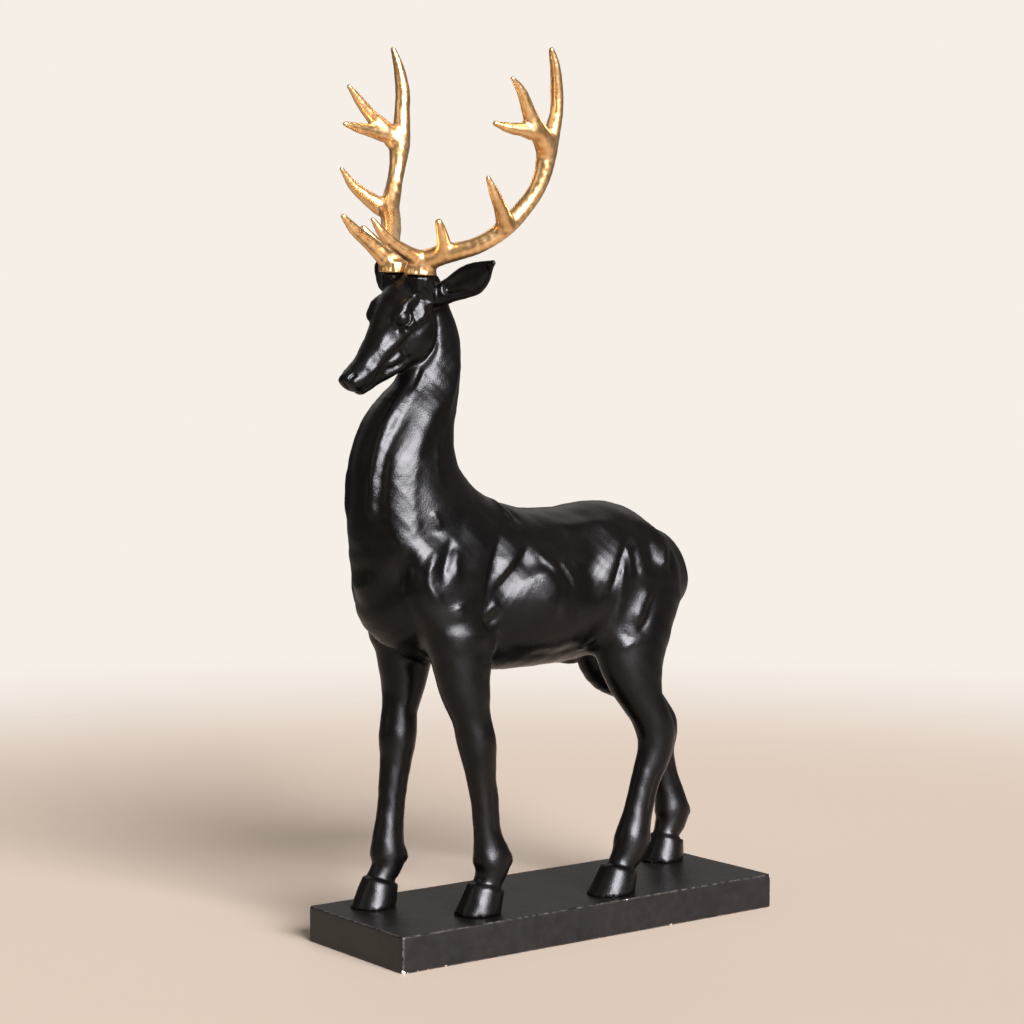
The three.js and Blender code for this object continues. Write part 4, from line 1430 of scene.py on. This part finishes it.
def matt_black():
    """The plinth's paint, worn paler along its edges and chipped through to the white resin."""
    nodes = Nodes("plinth_black", 0.42, specular=0.36)
    base = nodes.ramp(nodes.noise(45, 4), (0.3, (0.0016, 0.0013, 0.0012)), (0.72, (0.0038, 0.0029, 0.0025)))
    wear = nodes.spread(nodes.noise(260, 5), 0, 1, 0.42, 0.72)
    product = nodes.tree.nodes.new("ShaderNodeMath")
    product.operation = "MULTIPLY"
    nodes.link(nodes.attribute("worn"), product.inputs[0])
    nodes.link(wear, product.inputs[1])
    rubbed = nodes.mix(product.outputs["Value"], base, (0.075, 0.062, 0.052))
    bare = nodes.spread(nodes.attribute("chipped"), 0, 1, 0.45, 0.62)
    nodes.colour(nodes.mix(bare, rubbed, (0.62, 0.58, 0.52)))
    nodes.roughness(nodes.spread(nodes.noise(150, 5), 0.29, 0.41))
    nodes.bump(nodes.noise(1100, 3), 0.14, 0.0003)
    return nodes.material


def gilt():
    """Gold paint with the broken sheen of leaf, coppery where it is thin."""
    nodes = Nodes("antler_gold", 0.3, metallic=1.0)
    leaf = nodes.noise(210, 6, 0.62)
    nodes.colour(nodes.ramp(
        leaf,
        (0.3, (0.66, 0.375, 0.155)),
        (0.5, (0.78, 0.48, 0.215)),
        (0.72, (0.87, 0.60, 0.30)),
    ))
    nodes.roughness(nodes.spread(nodes.noise(420, 5), 0.27, 0.37))
    nodes.bump(nodes.noise(650, 4, 0.5), 0.09, 0.0004)
    return nodes.material


def finish(piece, node, material):
    """Puts a piece in place of its solid, with its material."""
    piece.data.materials.append(material)
    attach(piece, "root")
    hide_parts(node)


# The finest parts of the face: a place at each eye and at each nostril, and how far round it.
FINE_SPOTS = [(29, 16.5, 6), (75, 4, 2)]
FINE_SPOT_REACH = 10
# Body lines narrower than this are meshed finely, where they rise or sink by more than this.
FINE_LINE = 4.5
FINE_HEIGHT = 0.12


def eye_region(vertices):
    spots = [face_point(spot, side) for spot in FINE_SPOTS for side in (1, -1)]
    gap = np.min([np.linalg.norm(vertices - spot, axis=1) for spot in spots], axis=0)
    return gap < FINE_SPOT_REACH


def head_region(vertices):
    return between(vertices, HEAD_LOW + [0, 0, 8], HEAD_HIGH)


def relief_region(vertices):
    """Where narrow body lines need more detail than the rest of the coat."""
    marked = np.zeros(len(vertices), bool)
    for stroke in BODY_STROKES:
        if stroke.width < FINE_LINE:
            inside = within(vertices, stroke)
            marked[inside] |= np.abs(stroke.height_at(vertices[inside])) > FINE_HEIGHT
    return marked


STAG_LOW, STAG_HIGH = (-164, -52, 18), (150, 52, 434)
CELL = {"stag": 2.2, "antler": 0.85}

lay_on(body_field, BODY_STROKES)
lay_on(skull_field, HEAD_STROKES)
FACETS = placed_facets()
finer = (head_region, relief_region, eye_region)
stag = sculpt("stag_cast", stag_field, STAG_LOW, STAG_HIGH, CELL["stag"], finer)
finish(stag, "stag", satin_black())
gold = gilt()
for name, side in (("left", 1), ("right", -1)):
    marks = ANTLERS[name]
    low, high = box_of(marks, side)
    antler = sculpt(f"antler_{name}_cast", antler_field(marks, side), low, high, CELL["antler"])
    finish(antler, f"antler_{name}", gold)
finish(build_plinth(), "plinth", matt_black())


# Stage
FLOOR = {"reach": 1.6, "full": 0.55, "gone": 1.5, "colour": (0.318, 0.262, 0.205)}
WALL = (0.92, 0.865, 0.805)
SURROUND = {"colour": (0.63, 0.585, 0.54), "strength": 0.27}
# A light comes from an azimuth and an elevation. Azimuth 0 faces the left side and grows towards the tail.
SUNS = {
    "key": {"from": (-6, 24), "angle": 36, "strength": 16, "colour": (0.95, 0.935, 1.0)},
    "window": {"from": (-24, 62), "angle": 70, "strength": 0.7, "colour": (0.97, 0.95, 1.0)},
}
PANELS = {
    "fill": {"from": (-100, 20), "size": (1.2, 1.2), "watts": 5, "colour": (1.0, 0.92, 0.84)},
    "rim": {"from": (150, 40), "size": (2.6, 1.8), "watts": 7, "colour": (1.0, 0.93, 0.88)},
}
# The panels stand round the middle of the figurine.
PANEL_AIM = Vector((0, 0, 0.27))
PANEL_DISTANCE = 2.2


def build_floor():
    """A pale floor that fades into the backdrop all round."""
    mesh = bpy.data.meshes.new("floor")
    reach = FLOOR["reach"]
    corners = [(x * reach, y * reach, 0) for x, y in ((-1, -1), (1, -1), (1, 1), (-1, 1))]
    mesh.from_pydata(corners, [], [(0, 1, 2, 3)])
    floor = link_object("floor", mesh)
    nodes = Nodes("floor_pale", 0.6, specular=0.3)
    nodes.shader.inputs["Base Color"].default_value = (*FLOOR["colour"], 1)
    distance = nodes.tree.nodes.new("ShaderNodeVectorMath")
    distance.operation = "LENGTH"
    nodes.link(nodes.place, distance.inputs[0])
    fade = nodes.tree.nodes.new("ShaderNodeMapRange")
    fade.interpolation_type = "SMOOTHSTEP"
    fade_range = {"From Min": FLOOR["full"], "From Max": FLOOR["gone"], "To Min": 1, "To Max": 0}
    for name, value in fade_range.items():
        fade.inputs[name].default_value = value
    nodes.link(distance.outputs["Value"], fade.inputs["Value"])
    nodes.link(fade.outputs["Result"], nodes.shader.inputs["Alpha"])
    mesh.materials.append(nodes.material)


def toward(azimuth, elevation):
    """The direction from the figurine to a place at that azimuth and elevation, in radians."""
    level = math.cos(elevation)
    return Vector((math.sin(azimuth) * level, -math.cos(azimuth) * level, math.sin(elevation)))


def add_light(name, kind, light):
    direction = toward(*(math.radians(angle) for angle in light["from"]))
    data = bpy.data.lights.new(name, kind)
    data.color = light["colour"]
    lamp = link_object(name, data)
    lamp.location = PANEL_AIM + PANEL_DISTANCE * direction
    lamp.rotation_euler = direction.to_track_quat("Z", "Y").to_euler()
    return data


def light_scene():
    for name, sun in SUNS.items():
        data = add_light(name, "SUN", sun)
        data.energy, data.angle = sun["strength"], math.radians(sun["angle"])
    for name, panel in PANELS.items():
        data = add_light(name, "AREA", panel)
        data.shape, (data.size, data.size_y) = "RECTANGLE", panel["size"]
        data.energy = panel["watts"]
    world = bpy.data.worlds.new("studio")
    world.use_nodes = True
    tree = world.node_tree
    surround = tree.nodes["Background"]
    surround.inputs["Color"].default_value = (*SURROUND["colour"], 1)
    surround.inputs["Strength"].default_value = SURROUND["strength"]
    wall = tree.nodes.new("ShaderNodeBackground")
    wall.inputs["Color"].default_value = (*WALL, 1)
    seen = tree.nodes.new("ShaderNodeLightPath")
    mix = tree.nodes.new("ShaderNodeMixShader")
    tree.links.new(seen.outputs["Is Camera Ray"], mix.inputs[0])
    tree.links.new(surround.outputs[0], mix.inputs[1])
    tree.links.new(wall.outputs[0], mix.inputs[2])
    tree.links.new(mix.outputs[0], tree.nodes["World Output"].inputs["Surface"])
    bpy.context.scene.world = world
    bpy.context.scene.view_settings.view_transform = "Standard"


# The camera stands where the photograph was taken from.
CAMERA = {
    "place": Vector((-0.92845, -1.18115, 0.35652)),
    "azimuth": -37.2565, "elevation": 3.359, "roll": 0.2028,
    "focal": 2335.05, "frame": 1024, "sensor": 36.0,
}


def place_camera():
    azimuth, elevation, roll = (math.radians(CAMERA[name]) for name in ("azimuth", "elevation", "roll"))
    back = toward(azimuth, elevation)
    level = Vector((math.cos(azimuth), math.sin(azimuth), 0))
    above = back.cross(level)
    right = math.cos(roll) * level + math.sin(roll) * above
    up = math.cos(roll) * above - math.sin(roll) * level
    data = bpy.data.cameras.new("camera")
    data.sensor_width = CAMERA["sensor"]
    data.lens = CAMERA["focal"] * CAMERA["sensor"] / CAMERA["frame"]
    camera = link_object("camera", data)
    turn = Matrix((right, up, back)).transposed().to_4x4()
    camera.matrix_world = Matrix.Translation(CAMERA["place"]) @ turn
    bpy.context.scene.camera = camera


build_floor()
light_scene()
place_camera()
